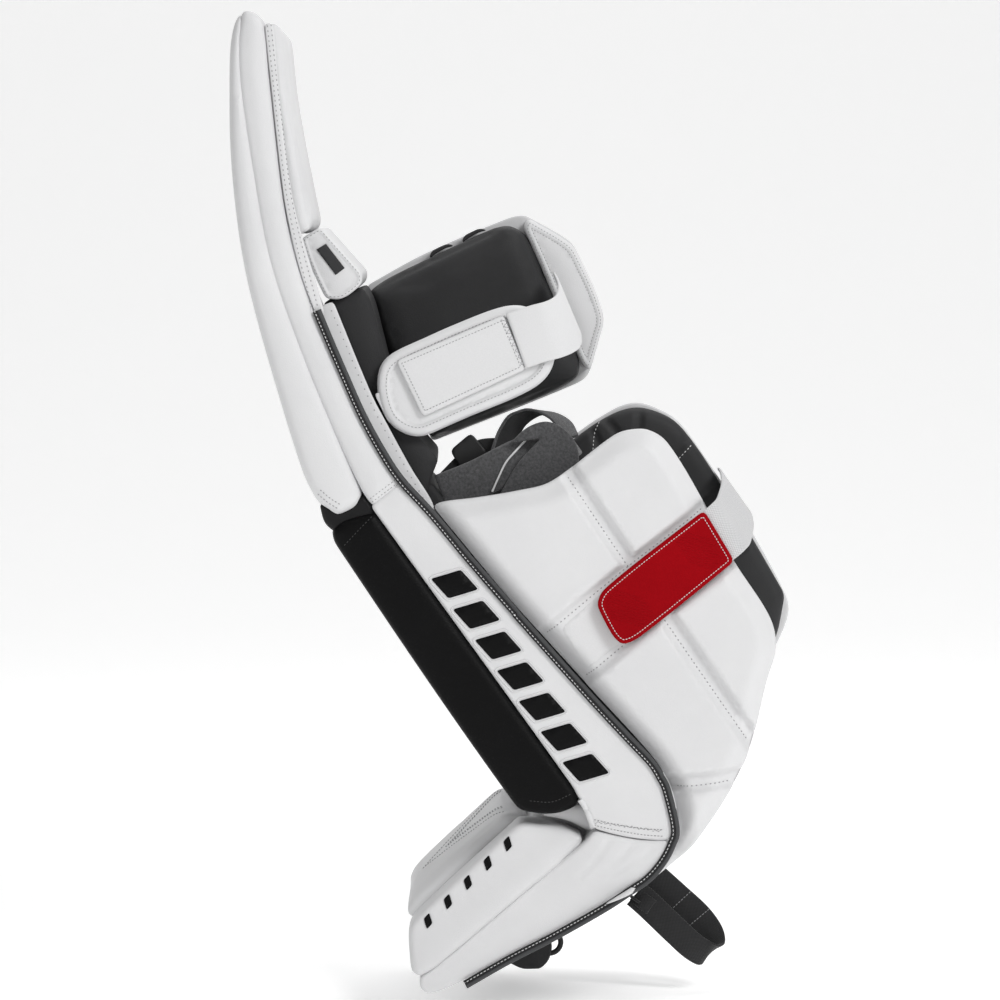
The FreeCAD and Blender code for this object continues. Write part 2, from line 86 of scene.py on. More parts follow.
shin = makeSection((0, 0, 0), jointNamed["calf_strap_peel"]["axis"])
shin["origin"] = shin["back"] * (-legLine * metre)
thigh = makeSection(jointNamed["knee_flex"]["pos_m"], jointNamed["knee_strap_peel"]["axis"])
boot = makeSection(jointNamed["ankle_flex"]["pos_m"], jointNamed["boot_strap_swing"]["axis"])


def toWorld(section, flat, depth):
    flat = np.asarray(flat, float).reshape(-1, 2)
    depth = np.broadcast_to(np.asarray(depth, float), len(flat))
    world = np.array(section["origin"]) + metre * (
        flat[:, :1] * np.array(section["back"]) + flat[:, 1:] * np.array(section["up"]))
    world[:, 1] += depth * metre
    return world


def toSection(section, world):
    local = (np.asarray(world, float) - np.array(section["origin"])) / metre
    return np.stack([local @ np.array(section["back"]), local @ np.array(section["up"])], 1)


def depthSpan(node):
    low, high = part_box(node)
    return low.y / metre, high.y / metre


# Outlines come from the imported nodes: the flat side of each is a polygon in its section.
straight = 0.004  # a corner that turns less than this is left out


def nodeCorners(node, section, flatSide="high"):
    mesh = bmesh.new()
    mesh.from_mesh(frame["nodes"][node].data)
    bmesh.ops.remove_doubles(mesh, verts=mesh.verts, dist=2e-5)
    heights = [vertex.co.y for vertex in mesh.verts]
    level = max(heights) if flatSide == "high" else min(heights)
    onSide = lambda vertex: abs(vertex.co.y - level) < 3e-5
    sideFaces = {face for face in mesh.faces if all(onSide(vertex) for vertex in face.verts)}
    following = {}
    for face in sideFaces:
        for loop in face.loops:
            if sum(other in sideFaces for other in loop.edge.link_faces) == 1:
                following[loop.vert] = loop.link_loop_next.vert
    start = min(following, key=lambda vertex: (round(vertex.co.x, 5), round(vertex.co.z, 5)))
    ring = [start]
    while following[ring[-1]] is not start:
        ring.append(following[ring[-1]])
    points = toSection(section, [vertex.co for vertex in ring])
    mesh.free()
    arriving, leaving = points - np.roll(points, 1, 0), np.roll(points, -1, 0) - points
    cross = arriving[:, 0] * leaving[:, 1] - arriving[:, 1] * leaving[:, 0]
    reach = np.linalg.norm(arriving, axis=1) * np.linalg.norm(leaving, axis=1)
    return anticlockwise(points[np.abs(cross) > straight * reach])


def unitRows(rows):
    return rows / np.maximum(np.linalg.norm(rows, axis=1, keepdims=True), 1e-12)


def anticlockwise(points):
    x, y = points[:, 0], points[:, 1]
    area = np.sum(x * np.roll(y, -1) - y * np.roll(x, -1))
    return points if area > 0 else points[::-1].copy()


def joinCorners(first, second, near=3.0):
    # one outline out of two that share a stretch of edge
    gaps = np.linalg.norm(first[:, None] - second[None], axis=2)
    pairs = [(i, int(gaps[i].argmin())) for i in range(len(first)) if gaps[i].min() < near]
    (a, p), (b, q) = pairs[0], pairs[-1]

    def longerWay(points, start, end):
        ways = [[points[(low + k) % len(points)] for k in range(1, (high - low) % len(points))]
                for low, high in ((end, start), (start, end))]
        return max(ways, key=len)

    return anticlockwise(np.array(longerWay(first, a, b) + longerWay(second, p, q)))


def reshaped(corners, start, end, points):
    # the corners from the one nearest start round to the one nearest end give way to the points
    nearest = lambda place: int(np.linalg.norm(corners - np.array(place), axis=1).argmin())
    a, b, count = nearest(start), nearest(end), len(corners)
    kept = [corners[(b + 1 + k) % count] for k in range((a - b - 1) % count)]
    return anticlockwise(np.array(kept + list(points), float))


def smoothLoop(corners, step=3.0, sharp=38, relax=2, closed=True):
    count = len(corners)
    ahead = np.roll(corners, -1, 0) - corners
    behind = corners - np.roll(corners, 1, 0)
    turn = np.degrees(np.abs(np.arctan2(behind[:, 0] * ahead[:, 1] - behind[:, 1] * ahead[:, 0],
                                        np.sum(behind * ahead, axis=1))))
    unit = lambda v: v / max(np.linalg.norm(v), 1e-9)
    samples = []
    for k in range(count if closed else count - 1):
        a, b = corners[k], corners[(k + 1) % count]
        chord = np.linalg.norm(b - a)
        endA = turn[k] > sharp or (not closed and k == 0)
        endB = turn[(k + 1) % count] > sharp or (not closed and k + 1 == count - 1)
        tangentA = unit(b - a if endA else b - corners[k - 1]) * chord
        tangentB = unit(b - a if endB else corners[(k + 2) % count] - a) * chord
        pieces = max(1, int(round(chord / step)))
        for t in np.arange(pieces) / pieces:
            samples.append((2 * t**3 - 3 * t**2 + 1) * a + (t**3 - 2 * t**2 + t) * tangentA
                           + (3 * t**2 - 2 * t**3) * b + (t**3 - t**2) * tangentB)
    if not closed:
        samples.append(corners[-1])
    loop = np.array(samples)
    for _ in range(relax if closed else 0):
        loop = (np.roll(loop, 1, 0) + 2 * loop + np.roll(loop, -1, 0)) / 4
    return loop


def smoothPath(points, step=3.0):
    return smoothLoop(np.array(points, float), step, 400, 0, closed=False)


def loopNormals(loop):
    along = unitRows(np.roll(loop, -1, 0) - np.roll(loop, 1, 0))
    return np.stack([along[:, 1], -along[:, 0]], 1)  # outwards on an anticlockwise loop


def pathDistance(points, path, closed=False):
    path = np.asarray(path, float)
    ends = np.roll(path, -1, 0) if closed else path[1:]
    starts = path if closed else path[:-1]
    best = np.full(len(points), 1e9)
    for a, b in zip(starts, ends):
        ab = b - a
        t = np.clip(((points - a) @ ab) / max(ab @ ab, 1e-12), 0, 1)
        best = np.minimum(best, np.linalg.norm(points - (a + t[:, None] * ab), axis=1))
    return best


def insideLoop(points, loop):
    inside = np.zeros(len(points), bool)
    for a, b in zip(loop, np.roll(loop, -1, 0)):
        crosses = (a[1] > points[:, 1]) != (b[1] > points[:, 1])
        if a[1] != b[1]:
            reach = a[0] + (points[:, 1] - a[1]) * (b[0] - a[0]) / (b[1] - a[1])
            inside ^= crosses & (points[:, 0] < reach)
    return inside


def smoothStep(x):
    x = np.clip(x, 0, 1)
    return x * x * (3 - 2 * x)


def sidePoints(path, offset):
    path = np.asarray(path, float)
    along = unitRows(np.gradient(path, axis=0))
    return path + offset * np.stack([along[:, 1], -along[:, 0]], 1)


# A valley pressed into a panel: half its flat width, the width of its slope and its depth.
def valley(path, flat, slope, depth):
    return {"path": np.asarray(path, float), "flat": flat, "slope": slope, "depth": depth}


def reliefAt(points, valleys):
    sunk = np.zeros(len(points))
    for line in valleys:
        away = pathDistance(points, line["path"])
        sunk = np.maximum(sunk, line["depth"] * (1 - smoothStep((away - line["flat"]) / line["slope"])))
    return sunk


def rimDrop(away, rim):
    # how far a quarter-round edge has dropped, this far in from the outline
    return rim - np.sqrt(np.maximum(rim**2 - np.clip(rim - away, 0, rim)**2, 0))


hemLine = {"slope": 1.6, "offset": 1.0, "spread": 0.9, "share": 0.7}


def coverDepth(shape, points):
    # how far the cover's outer surface stands out, in the section's depth direction
    points = np.asarray(points, float).reshape(-1, 2)
    away = pathDistance(points, shape["loop"], closed=True)
    swell = shape["crown"] * smoothStep((away - shape["hemFlat"]) / shape["crownReach"])
    lift = swell - rimDrop(away, shape["rim"]) - reliefAt(points, shape["valleys"])
    if shape["hem"]:
        width, sink = shape["hem"]
        furrow = np.exp(-((away - width - hemLine["offset"]) / hemLine["spread"]) ** 2)
        lift = lift - sink * (smoothStep((away - width) / hemLine["slope"]) + hemLine["share"] * furrow)
    if shape["warp"]:
        lift = lift + shape["warp"](points)
    return shape["outer"] + shape["facing"] * lift


def onCover(shape, path, lift=0.0):
    flat = np.asarray(path, float)
    return toWorld(shape["section"], flat, coverDepth(shape, flat) + shape["facing"] * lift)


def padShape(section, loop, outer, inner, **more):
    shape = {"section": section, "loop": loop, "outer": outer, "inner": inner, "rim": 4, "crown": 0,
             "crownReach": 25, "valleys": (), "warp": None, "innerRim": 1.0, "bulge": 0.0, "rings": 4,
             "step": 5.0, "hem": None, "hemFlat": 0.0, "facing": 1 if outer > inner else -1}
    assert set(more) <= set(shape)
    return {**shape, **more}


# Extra rows of mesh points: at shares of the rim, past a hem and across a valley's slope.
meshRows = {"rim": (0.06, 0.22, 0.5, 0.85, 1.25), "hem": (0, 0.8, 1.6), "slope": (0.0, 0.35, 0.7, 1.0)}


def fillPoints(shape):
    loop, step, rim = shape["loop"], shape["step"], shape["rim"]
    normals = loopNormals(loop)
    extra = [np.zeros((0, 2))]
    for share in meshRows["rim"]:
        extra.append(loop - normals * rim * share)
        extra[-1] = extra[-1][pathDistance(extra[-1], loop, True) > rim * share * 0.9]
    if shape["hem"]:
        for inset in meshRows["hem"]:
            extra.append(loop - normals * (shape["hem"][0] + inset))
    for line in shape["valleys"]:
        path = smoothPath(line["path"], min(step, 4)) if len(line["path"]) < 12 else line["path"]
        for share in meshRows["slope"]:
            for side in (-1, 1):
                extra.append(sidePoints(path, side * (line["flat"] + share * line["slope"])))
        if line["flat"] > 6:
            extra.append(path)
    low, high = loop.min(0), loop.max(0)
    columns = np.arange(low[0], high[0], step)
    rows = np.arange(low[1], high[1], step * 0.87)
    grid = np.array([(x + (step / 2 if k % 2 else 0), y) for k, y in enumerate(rows) for x in columns])
    rowPoints = np.concatenate(extra)
    rowPoints = rowPoints[insideLoop(rowPoints, loop)]
    rowPoints = rowPoints[pathDistance(rowPoints, loop, True) > 0.04 * rim + 0.05]
    grid = grid[insideLoop(grid, loop)]
    grid = grid[pathDistance(grid, loop, True) > max(rim * 1.3, step * 0.5)]
    return thinned(np.concatenate([rowPoints, grid]), 0.28 * min(step, 3.0))


def thinned(points, spacing):
    kept, cells = [], set()
    for point in points:
        cell = (int(point[0] // spacing), int(point[1] // spacing))
        if cell not in cells:
            cells.add(cell)
            kept.append(point)
    return np.array(kept)


sideFullness = 0.7  # under 1 a bulging side is rounder at its edges


def padMesh(name, shape, material):
    loop, count = shape["loop"], len(shape["loop"])
    seeds = [Vector(point) for point in loop] + [Vector(point) for point in fillPoints(shape)]
    edges = [(k, (k + 1) % count) for k in range(count)]
    flat, _, triangles, origins = delaunay_2d_cdt(seeds, edges, [list(range(count))], 1, 1e-5)[:4]
    flat = np.array([tuple(point) for point in flat])
    cornerOf = {seed: k for k, origin in enumerate(origins) for seed in origin}
    border = [cornerOf[k] for k in range(count)]
    outerDepth = coverDepth(shape, flat)
    away = pathDistance(flat, loop, True)
    innerDepth = shape["inner"] + shape["facing"] * rimDrop(away, shape["innerRim"])
    if shape["warp"]:
        innerDepth = innerDepth + shape["facing"] * shape["warp"](flat)
    vertices = [toWorld(shape["section"], flat, outerDepth), toWorld(shape["section"], flat, innerDepth)]
    base = len(flat)
    faces = [tuple(face) for face in triangles]
    faces += [tuple(base + k for k in reversed(face)) for face in triangles]
    normals = loopNormals(flat[border])
    previous = border
    for ring in range(1, shape["rings"] + 1):
        share = ring / shape["rings"]
        if ring == shape["rings"]:
            current = [base + k for k in border]
        else:
            current = list(range(2 * base + (ring - 1) * count, 2 * base + ring * count))
            depth = outerDepth[border] * (1 - share) + innerDepth[border] * share
            swell = shape["bulge"] * math.sin(math.pi * share) ** sideFullness
            vertices.append(toWorld(shape["section"], flat[border] + normals * swell, depth))
        faces += [(previous[(k + 1) % count], previous[k], current[k], current[(k + 1) % count])
                  for k in range(count)]
        previous = current
    return meshPiece(name, np.concatenate(vertices), faces, material)


def meshPiece(name, vertices, faces, material, uvs=None):
    mesh = bpy.data.meshes.new(name)
    mesh.from_pydata([tuple(v) for v in vertices], [], faces)
    built = bmesh.new()
    built.from_mesh(mesh)
    if uvs is not None:
        layer = built.loops.layers.uv.new("weave")
        for face in built.faces:
            for loop in face.loops:
                loop[layer].uv = uvs[loop.vert.index]
    bmesh.ops.remove_doubles(built, verts=built.verts, dist=1e-6)
    bmesh.ops.recalc_face_normals(built, faces=built.faces)
    built.to_mesh(mesh)
    built.free()
    piece = bpy.data.objects.new(name, mesh)
    bpy.context.scene.collection.objects.link(piece)
    mesh.materials.append(material)
    mesh.shade_smooth()
    return piece


def insetLoop(shape, inset):
    # a closed run at a steady distance inside the outline
    loop = shape["loop"]
    run = loop - loopNormals(loop) * inset
    run = run[pathDistance(run, loop, True) > inset * 0.93]
    return np.concatenate([run, run[:1]])


def decal(name, basis, loop, lift, material, rim=0.5, thick=1.0, **more):
    # a thin flat piece that lies on another cover
    facing = basis["facing"]
    follow = lambda points: (coverDepth(basis, points) - basis["outer"]) * facing
    outer = basis["outer"] + facing * lift
    shape = padShape(basis["section"], loop, outer, outer - facing * thick, rim=rim, warp=follow, rings=2,
                     **more)
    return padMesh(name, shape, material)


# Webbing, felt and piping: a flat section with round edges swept along a path in space.
def sweepBand(name, path, wide, width, thick, look, moves, replaced=(), edge=None):
    path = np.asarray(path, float)
    wide = unitRows(np.broadcast_to(np.asarray(wide, float), path.shape))
    along = unitRows(np.gradient(path, axis=0))
    wide = unitRows(wide - along * np.sum(wide * along, axis=1, keepdims=True))
    up = np.cross(along, wide)
    edge = thick / 2 if edge is None else edge
    profile = []
    for cx, cy, start in ((1, 1, 0), (-1, 1, 90), (-1, -1, 180), (1, -1, 270)):
        for turn in (0, 30, 60, 90):
            angle = math.radians(start + turn)
            profile.append((cx * (width / 2 - edge) + edge * math.cos(angle),
                            cy * (thick / 2 - edge) + edge * math.sin(angle)))
    profile = np.array(profile) * metre
    length = np.concatenate([[0], np.cumsum(np.linalg.norm(np.diff(path, axis=0), axis=1))])
    rings, sides = len(path), len(profile)
    spread = profile[None, :, :1] * wide[:, None] + profile[None, :, 1:] * up[:, None]
    vertices = (path[:, None] + spread).reshape(-1, 3)
    uvs = [(profile[j, 0] / metre, length[i] / metre) for i in range(rings) for j in range(sides)]
    faces = [(i + j, i + (j + 1) % sides, i + sides + (j + 1) % sides, i + sides + j)
             for i in range(0, (rings - 1) * sides, sides) for j in range(sides)]
    faces += [tuple(range(sides))[::-1], tuple((rings - 1) * sides + j for j in range(sides))]
    return finish(meshPiece(name, vertices, faces, look[0], uvs), moves, look[1], replaced)


def spacePath(section, points, step=3.0):
    # a smooth path through (across, up, depth) points of one section
    flat = smoothPoints(points, step)
    return toWorld(section, flat[:, :2], flat[:, 2])


def joinedPath(stretches, step=3.0):
    # the same through stretches of several sections
    world = np.concatenate([toWorld(section, np.array(points, float)[:, :2], np.array(points, float)[:, 2])
                            for section, points in stretches])
    return smoothPoints(world, step * metre)


def smoothPoints(points, step):
    points = np.asarray(points, float)
    knots = np.concatenate([2 * points[:1] - points[1:2], points, 2 * points[-1:] - points[-2:-1]])
    samples = []
    for k in range(1, len(knots) - 2):
        p0, p1, p2, p3 = knots[k - 1:k + 3]
        pieces = max(2, int(np.linalg.norm(p2 - p1) / step))
        for t in np.arange(pieces) / pieces:
            samples.append(0.5 * (2 * p1 + (p2 - p0) * t + (2 * p0 - 5 * p1 + 4 * p2 - p3) * t * t
                                  + (3 * p1 - p0 - 3 * p2 + p3) * t**3))
    samples.append(points[-1])
    return np.array(samples)


def addNode(tree, kind, **values):
    node = tree.nodes.new(kind)
    for key, value in values.items():
        if key in node.inputs:
            node.inputs[key].default_value = value
        else:
            setattr(node, key, value)
    return node


# Geometry Nodes along runs of points: stitches are beads set on a run, cords a circle swept along it.
def runTree(name, inputs, kinds, wires):
    tree = bpy.data.node_groups.new(name, "GeometryNodeTree")
    socket = tree.interface.new_socket
    socket("Geometry", in_out="INPUT", socket_type="NodeSocketGeometry")
    taken = {label: socket(label, in_out="INPUT", socket_type="NodeSocket" + kind).identifier
             for label, kind in inputs.items()}
    socket("Geometry", in_out="OUTPUT", socket_type="NodeSocketGeometry")
    ends = {"source": "NodeGroupInput", "result": "NodeGroupOutput", "real": "GeometryNodeRealizeInstances",
            "smooth": "GeometryNodeSetShadeSmooth", "paint": "GeometryNodeSetMaterial"}
    nodes = {key: addNode(tree, kind) for key, kind in ends.items()}
    nodes.update({key: addNode(tree, kind, **values) for key, (kind, values) in kinds.items()})
    finishing = [("real", "Geometry", "smooth", "Geometry"), ("smooth", "Geometry", "paint", "Geometry"),
                 ("source", "Cover", "paint", "Material"), ("paint", "Geometry", "result", "Geometry")]
    for start, output, end, entry in wires + finishing:
        tree.links.new(nodes[start].outputs[output], nodes[end].inputs[entry])
    return tree, taken


threadTree = runTree(
    "threadRun", {"Spacing": "Float", "Half Length": "Float", "Radius": "Float", "Cover": "Material"},
    {"resample": ("GeometryNodeResampleCurve", {"mode": "LENGTH"}),
     "bead": ("GeometryNodeMeshIcoSphere", {"Subdivisions": 2, "Radius": 1.0}),
     "stretch": ("ShaderNodeCombineXYZ", {}), "tangent": ("GeometryNodeInputTangent", {}),
     "align": ("FunctionNodeAlignRotationToVector", {"axis": "X"}),
     "place": ("GeometryNodeInstanceOnPoints", {})},
    [("source", "Geometry", "resample", "Curve"), ("source", "Spacing", "resample", "Length"),
     ("source", "Half Length", "stretch", "X"), ("source", "Radius", "stretch", "Y"),
     ("source", "Radius", "stretch", "Z"), ("resample", "Curve", "place", "Points"),
     ("bead", "Mesh", "place", "Instance"), ("tangent", "Tangent", "align", "Vector"),
     ("align", "Rotation", "place", "Rotation"), ("stretch", "Vector", "place", "Scale"),
     ("place", "Instances", "real", "Geometry")])
cordTree = runTree(
    "cordRun", {"Radius": "Float", "Sides": "Int", "Cover": "Material"},
    {"ring": ("GeometryNodeCurvePrimitiveCircle", {}), "sweep": ("GeometryNodeCurveToMesh",
                                                                 {"Fill Caps": True})},
    [("source", "Radius", "ring", "Radius"), ("source", "Sides", "ring", "Resolution"),
     ("source", "Geometry", "sweep", "Curve"), ("ring", "Curve", "sweep", "Profile Curve"),
     ("sweep", "Mesh", "real", "Geometry")])


def runPiece(name, runs, group, values):
    curve = bpy.data.curves.new(name, "CURVE")
    curve.dimensions = "3D"
    for run in runs:
        closed = np.linalg.norm(run[0] - run[-1]) < 1e-9
        run = run[:-1] if closed else run
        spline = curve.splines.new("POLY")
        spline.points.add(len(run) - 1)
        spline.points.foreach_set("co", np.concatenate([run, np.ones((len(run), 1))], 1).ravel())
        spline.use_cyclic_u = closed
    source = bpy.data.objects.new(name + "Run", curve)
    bpy.context.scene.collection.objects.link(source)
    modifier = source.modifiers.new("make", "NODES")
    modifier.node_group, sockets = group
    for label, value in values.items():
        modifier[sockets[label]] = value
    mesh = bpy.data.meshes.new_from_object(source.evaluated_get(bpy.context.evaluated_depsgraph_get()))
    mesh.name = name
    source.modifiers.remove(modifier)
    bpy.data.objects.remove(source)
    piece = bpy.data.objects.new(name, mesh)
    bpy.context.scene.collection.objects.link(piece)
    return piece


def stitches(name, runs, moves, size, slot="white_leather", thread=None):
    spacing, length, radius = (value * metre for value in size)
    values = {"Spacing": spacing, "Half Length": length / 2, "Radius": radius,
              "Cover": thread or threadGrey}
    return finish(runPiece(name, runs, threadTree, values), moves, slot)


def beads(name, runs, moves, look, radius, replaced=(), sides=8):
    values = {"Radius": radius * metre, "Sides": sides, "Cover": look[0]}
    return finish(runPiece(name, runs, cordTree, values), moves, look[1], replaced)


# Fabric cushions: a pressurised cloth copy of a closed form, capped so that it stays in its place.
clothRun = {"pressure": 4.0, "frames": 20, "quality": 5}


def coordinates(mesh):
    flat = np.zeros(len(mesh.vertices) * 3)
    mesh.vertices.foreach_get("co", flat)
    return flat.reshape(-1, 3)


def evaluatedMesh(item):
    return bpy.data.meshes.new_from_object(item.evaluated_get(bpy.context.evaluated_depsgraph_get()))


def stuffed(piece, swell, voxel):
    scene = bpy.context.scene
    remesh = piece.modifiers.new("even", "REMESH")
    remesh.mode = "VOXEL"
    remesh.voxel_size = voxel * metre
    applied = evaluatedMesh(piece)
    piece.modifiers.remove(remesh)
    work = bpy.data.objects.new(piece.name + "Cloth", applied)
    scene.collection.objects.link(work)
    start = coordinates(applied)
    cloth = work.modifiers.new("cloth", "CLOTH")
    cloth.settings.use_pressure = True
    cloth.settings.uniform_pressure_force = clothRun["pressure"]
    cloth.settings.effector_weights.gravity = 0
    cloth.settings.quality = clothRun["quality"]
    cloth.point_cache.frame_start = 1
    cloth.point_cache.frame_end = clothRun["frames"]
    for number in range(1, clothRun["frames"] + 1):
        scene.frame_set(number)
    shift = coordinates(work.evaluated_get(bpy.context.evaluated_depsgraph_get()).data) - start
    size = np.linalg.norm(shift, axis=1, keepdims=True)
    shift *= np.tanh(size / (swell * metre)) * swell * metre / np.maximum(size, 1e-9)
    work.modifiers.remove(cloth)
    applied.vertices.foreach_set("co", (start + shift).ravel())
    scene.frame_set(1)
    material = piece.data.materials[0]
    smoother = work.modifiers.new("finer", "SUBSURF")
    smoother.levels = smoother.render_levels = 1
    final = evaluatedMesh(work)
    final.materials.clear()
    final.materials.append(material)
    final.shade_smooth()
    piece.data = final
    bpy.data.objects.remove(work)


# How a finished piece is placed: parented to one body, or baked where it stands when it spans a joint.
def finish(piece, moves, slot, replaces=()):
    if isinstance(moves, str):
        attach(piece, moves)
    else:
        bodyA, bodyB, start, end = moves
        tuple(start)
        tuple(end)
        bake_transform(piece)
    if replaces:
        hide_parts(*replaces)
    return piece


print("tools ready")


# Materials. Noise and bumps are in object coordinates, in metres.
def newMaterial(name, colour, rough, specular=0.5, sheen=0.0):
    material = bpy.data.materials.new(name)
    material.use_nodes = True
    shader = material.node_tree.nodes["Principled BSDF"]
    shader.inputs["Base Color"].default_value = (*colour, 1)
    shader.inputs["Roughness"].default_value = rough
    shader.inputs["Specular IOR Level"].default_value = specular
    shader.inputs["Sheen Weight"].default_value = sheen
    return material, material.node_tree, shader


def texture(tree, kind="ShaderNodeTexNoise", output="Fac", **values):
    place = addNode(tree, "ShaderNodeTexCoord")
    node = addNode(tree, kind, **values)
    tree.links.new(place.outputs["Object"], node.inputs["Vector"])
    return node.outputs[output]


def paint(tree, shader, factor, dark, light):
    ramp = addNode(tree, "ShaderNodeValToRGB")
    for element, colour, position in zip(ramp.color_ramp.elements, (dark, light), (0.3, 0.7)):
        element.color = (*colour, 1)
        element.position = position
    tree.links.new(factor, ramp.inputs["Fac"])
    tree.links.new(ramp.outputs["Color"], shader.inputs["Base Color"])


def bumped(tree, shader, *layers):
    # each layer is a height, a strength and a distance in metres, the finest first
    below = None
    for height, strength, distance in layers:
        bump = addNode(tree, "ShaderNodeBump", Strength=strength, Distance=distance)
        tree.links.new(height, bump.inputs["Height"])
        if below:
            tree.links.new(below, bump.inputs["Normal"])
        below = bump.outputs["Normal"]
    tree.links.new(below, shader.inputs["Normal"])


def leather(name, colour, shade, rough, grain=0.25, wrinkle=0.12, specular=0.4):
    material, tree, shader = newMaterial(name, colour, rough, specular)
    pores = texture(tree, "ShaderNodeTexVoronoi", "Distance", feature="SMOOTH_F1", Scale=1100.0,
                    Smoothness=0.6)
    creases = texture(tree, Scale=38.0, Detail=5.0, Roughness=0.55)
    paint(tree, shader, texture(tree, Scale=9.0, Detail=4.0, Roughness=0.6), shade, colour)
    scuff = addNode(tree, "ShaderNodeMapRange")
    for key, value in zip(("From Min", "From Max", "To Min", "To Max"), (0.3, 0.7, rough - 0.06,
                                                                         rough + 0.08)):
        scuff.inputs[key].default_value = value
    tree.links.new(texture(tree, Scale=620.0, Detail=3.0, Roughness=0.6), scuff.inputs["Value"])
    tree.links.new(scuff.outputs["Result"], shader.inputs["Roughness"])
    bumped(tree, shader, (pores, grain, 0.0004), (creases, wrinkle, 0.003))
    return material


def fuzzyCloth(name, colour, shade, scale, sheen, depth, strength, speckle):
    material, tree, shader = newMaterial(name, colour, 0.92, 0.2, sheen)
    paint(tree, shader, texture(tree, Scale=speckle, Detail=4.0, Roughness=0.65), shade, colour)
    bumped(tree, shader, (texture(tree, Scale=scale, Detail=6.0, Roughness=0.7), strength, depth))
    return material


def wovenTape(name, colour, shade, weftScale, warpScale, strength):
    # ribs across the tape and finer threads along it, from the strap's own map in millimetres, with painted
    # shade where the weave sinks
    material, tree, shader = newMaterial(name, colour, 0.75, 0.3, 0.2)
    place = addNode(tree, "ShaderNodeUVMap", uv_map="weave")
    parts = addNode(tree, "ShaderNodeSeparateXYZ")
    tree.links.new(place.outputs["UV"], parts.inputs[0])
    weave = addNode(tree, "ShaderNodeMath", operation="MULTIPLY")
    for number, (axis, scale) in enumerate((("X", weftScale), ("Y", warpScale))):
        turn = addNode(tree, "ShaderNodeMath", operation="MULTIPLY")
        turn.inputs[1].default_value = 2 * math.pi * scale
        sine = addNode(tree, "ShaderNodeMath", operation="SINE")
        tree.links.new(parts.outputs[axis], turn.inputs[0])
        tree.links.new(turn.outputs[0], sine.inputs[0])
        tree.links.new(sine.outputs[0], weave.inputs[number])
    level = addNode(tree, "ShaderNodeMapRange")
    level.inputs["From Min"].default_value = -1
    tree.links.new(weave.outputs[0], level.inputs["Value"])
    # painted shade: the weave's low places take the darker colour, from the same height as the bump
    paint(tree, shader, level.outputs["Result"], shade, colour)
    bumped(tree, shader, (level.outputs["Result"], strength, 0.0005))
    return material


def mouldedPlastic(name, colour, shade, rough=0.42):
    material, tree, shader = newMaterial(name, colour, rough)
    speck = texture(tree, Scale=900.0, Detail=3.0)
    paint(tree, shader, speck, shade, colour)
    bumped(tree, shader, (speck, 0.2, 0.0002))
    return material


palest = (0.70, 0.70, 0.705)
whiteLeather = leather("whiteLeather", palest, (0.655, 0.655, 0.662), 0.46)
blackLeather = leather("blackLeather", (0.0035, 0.0035, 0.0037), (0.0025, 0.0025, 0.0027), 0.42, 0.4,
                       specular=0.10)
softBlack = leather("softBlack", (0.040, 0.040, 0.041), (0.031, 0.031, 0.032), 0.55, 0.3, specular=0.16)
deepBlack = leather("deepBlack", (0.008, 0.008, 0.0085), (0.006, 0.006, 0.0063), 0.36, 0.3, 0.5, 0.2)
greyPiping = leather("greyPiping", (0.070, 0.071, 0.073), (0.055, 0.056, 0.058), 0.5, 0.2, specular=0.2)
darkPiping = leather("darkPiping", (0.022, 0.022, 0.023), (0.016, 0.016, 0.017), 0.5, 0.2, specular=0.2)
redLeather = leather("redLeather", (0.30, 0.0006, 0.004), (0.25, 0.0004, 0.003), 0.5, 0.3, specular=0.05)
darkLiner = leather("darkLiner", (0.034, 0.034, 0.035), (0.027, 0.027, 0.028), 0.6, 0.3, 0.3, 0.14)
greyFelt = fuzzyCloth("greyFelt", (0.115, 0.115, 0.118), (0.050, 0.050, 0.052), 700, 0.25, 0.0010, 0.9, 420)
loopPile = fuzzyCloth("loopPile", palest, (0.66, 0.66, 0.665), 1800, 0.05, 0.0002, 0.35, 900)
# both tapes carry painted shade in the hollows of their weave
paleTape = wovenTape("paleTape", palest, (0.52, 0.52, 0.53), 0.55, 0.36, 1.0)
blackTape = wovenTape("blackTape", (0.022, 0.022, 0.023), (0.010, 0.010, 0.0105), 0.6, 0.5, 0.9)
blackPlastic = mouldedPlastic("blackPlastic", (0.010, 0.010, 0.0105), (0.007, 0.007, 0.0075))
threadGrey = mouldedPlastic("threadGrey", (0.33, 0.33, 0.335), (0.27, 0.27, 0.275), 0.7)
threadWhite = mouldedPlastic("threadWhite", (0.72, 0.72, 0.72), (0.64, 0.64, 0.64), 0.7)
threadDark = mouldedPlastic("threadDark", (0.045, 0.045, 0.046), (0.03, 0.03, 0.03), 0.7)

# A look is a material and a slot name.
white, whiteTab = (whiteLeather, "white_leather"), (whiteLeather, "white_webbing")
black, redTab = (blackLeather, "black_leather"), (redLeather, "red_leather")
liner, webbing = (darkLiner, "liner_fabric"), (softBlack, "black_webbing")
elastic, tape, felt = (paleTape, "white_webbing"), (blackTape, "black_webbing"), (greyFelt, "grey_felt")
plastic = (blackPlastic, "black_plastic")
print("materials ready")

# Panels and cushions: cover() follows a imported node's own outline, pad() takes a free one.
shapes, pieceOf = {}, {}
threadLift, seamLift = 0.1, 0.15  # how far stitches stand out of a cover
sewnStep = 1.5  # between the points of a sewn path


def cover(node, section, look, moves, side="low", edits=(), along=3.0, sharp=38, relax=2, padded=None,
          puff=None,
          **more):
    low, high = depthSpan(node)
    outer, inner, flatSide = (low, high, "high") if side == "low" else (high, low, "low")
    corners = nodeCorners(node, section, flatSide)
    for start, end, points in edits:
        corners = reshaped(corners, start, end, points)
    shape = padShape(section, smoothLoop(corners, along, sharp, relax), outer, inner, **more)
    piece = padMesh(node + "Cover", shape, look[0])
    if puff:
        stuffed(piece, **puff)
    shapes[node], pieceOf[node] = shape, finish(piece, moves, look[1], [node])


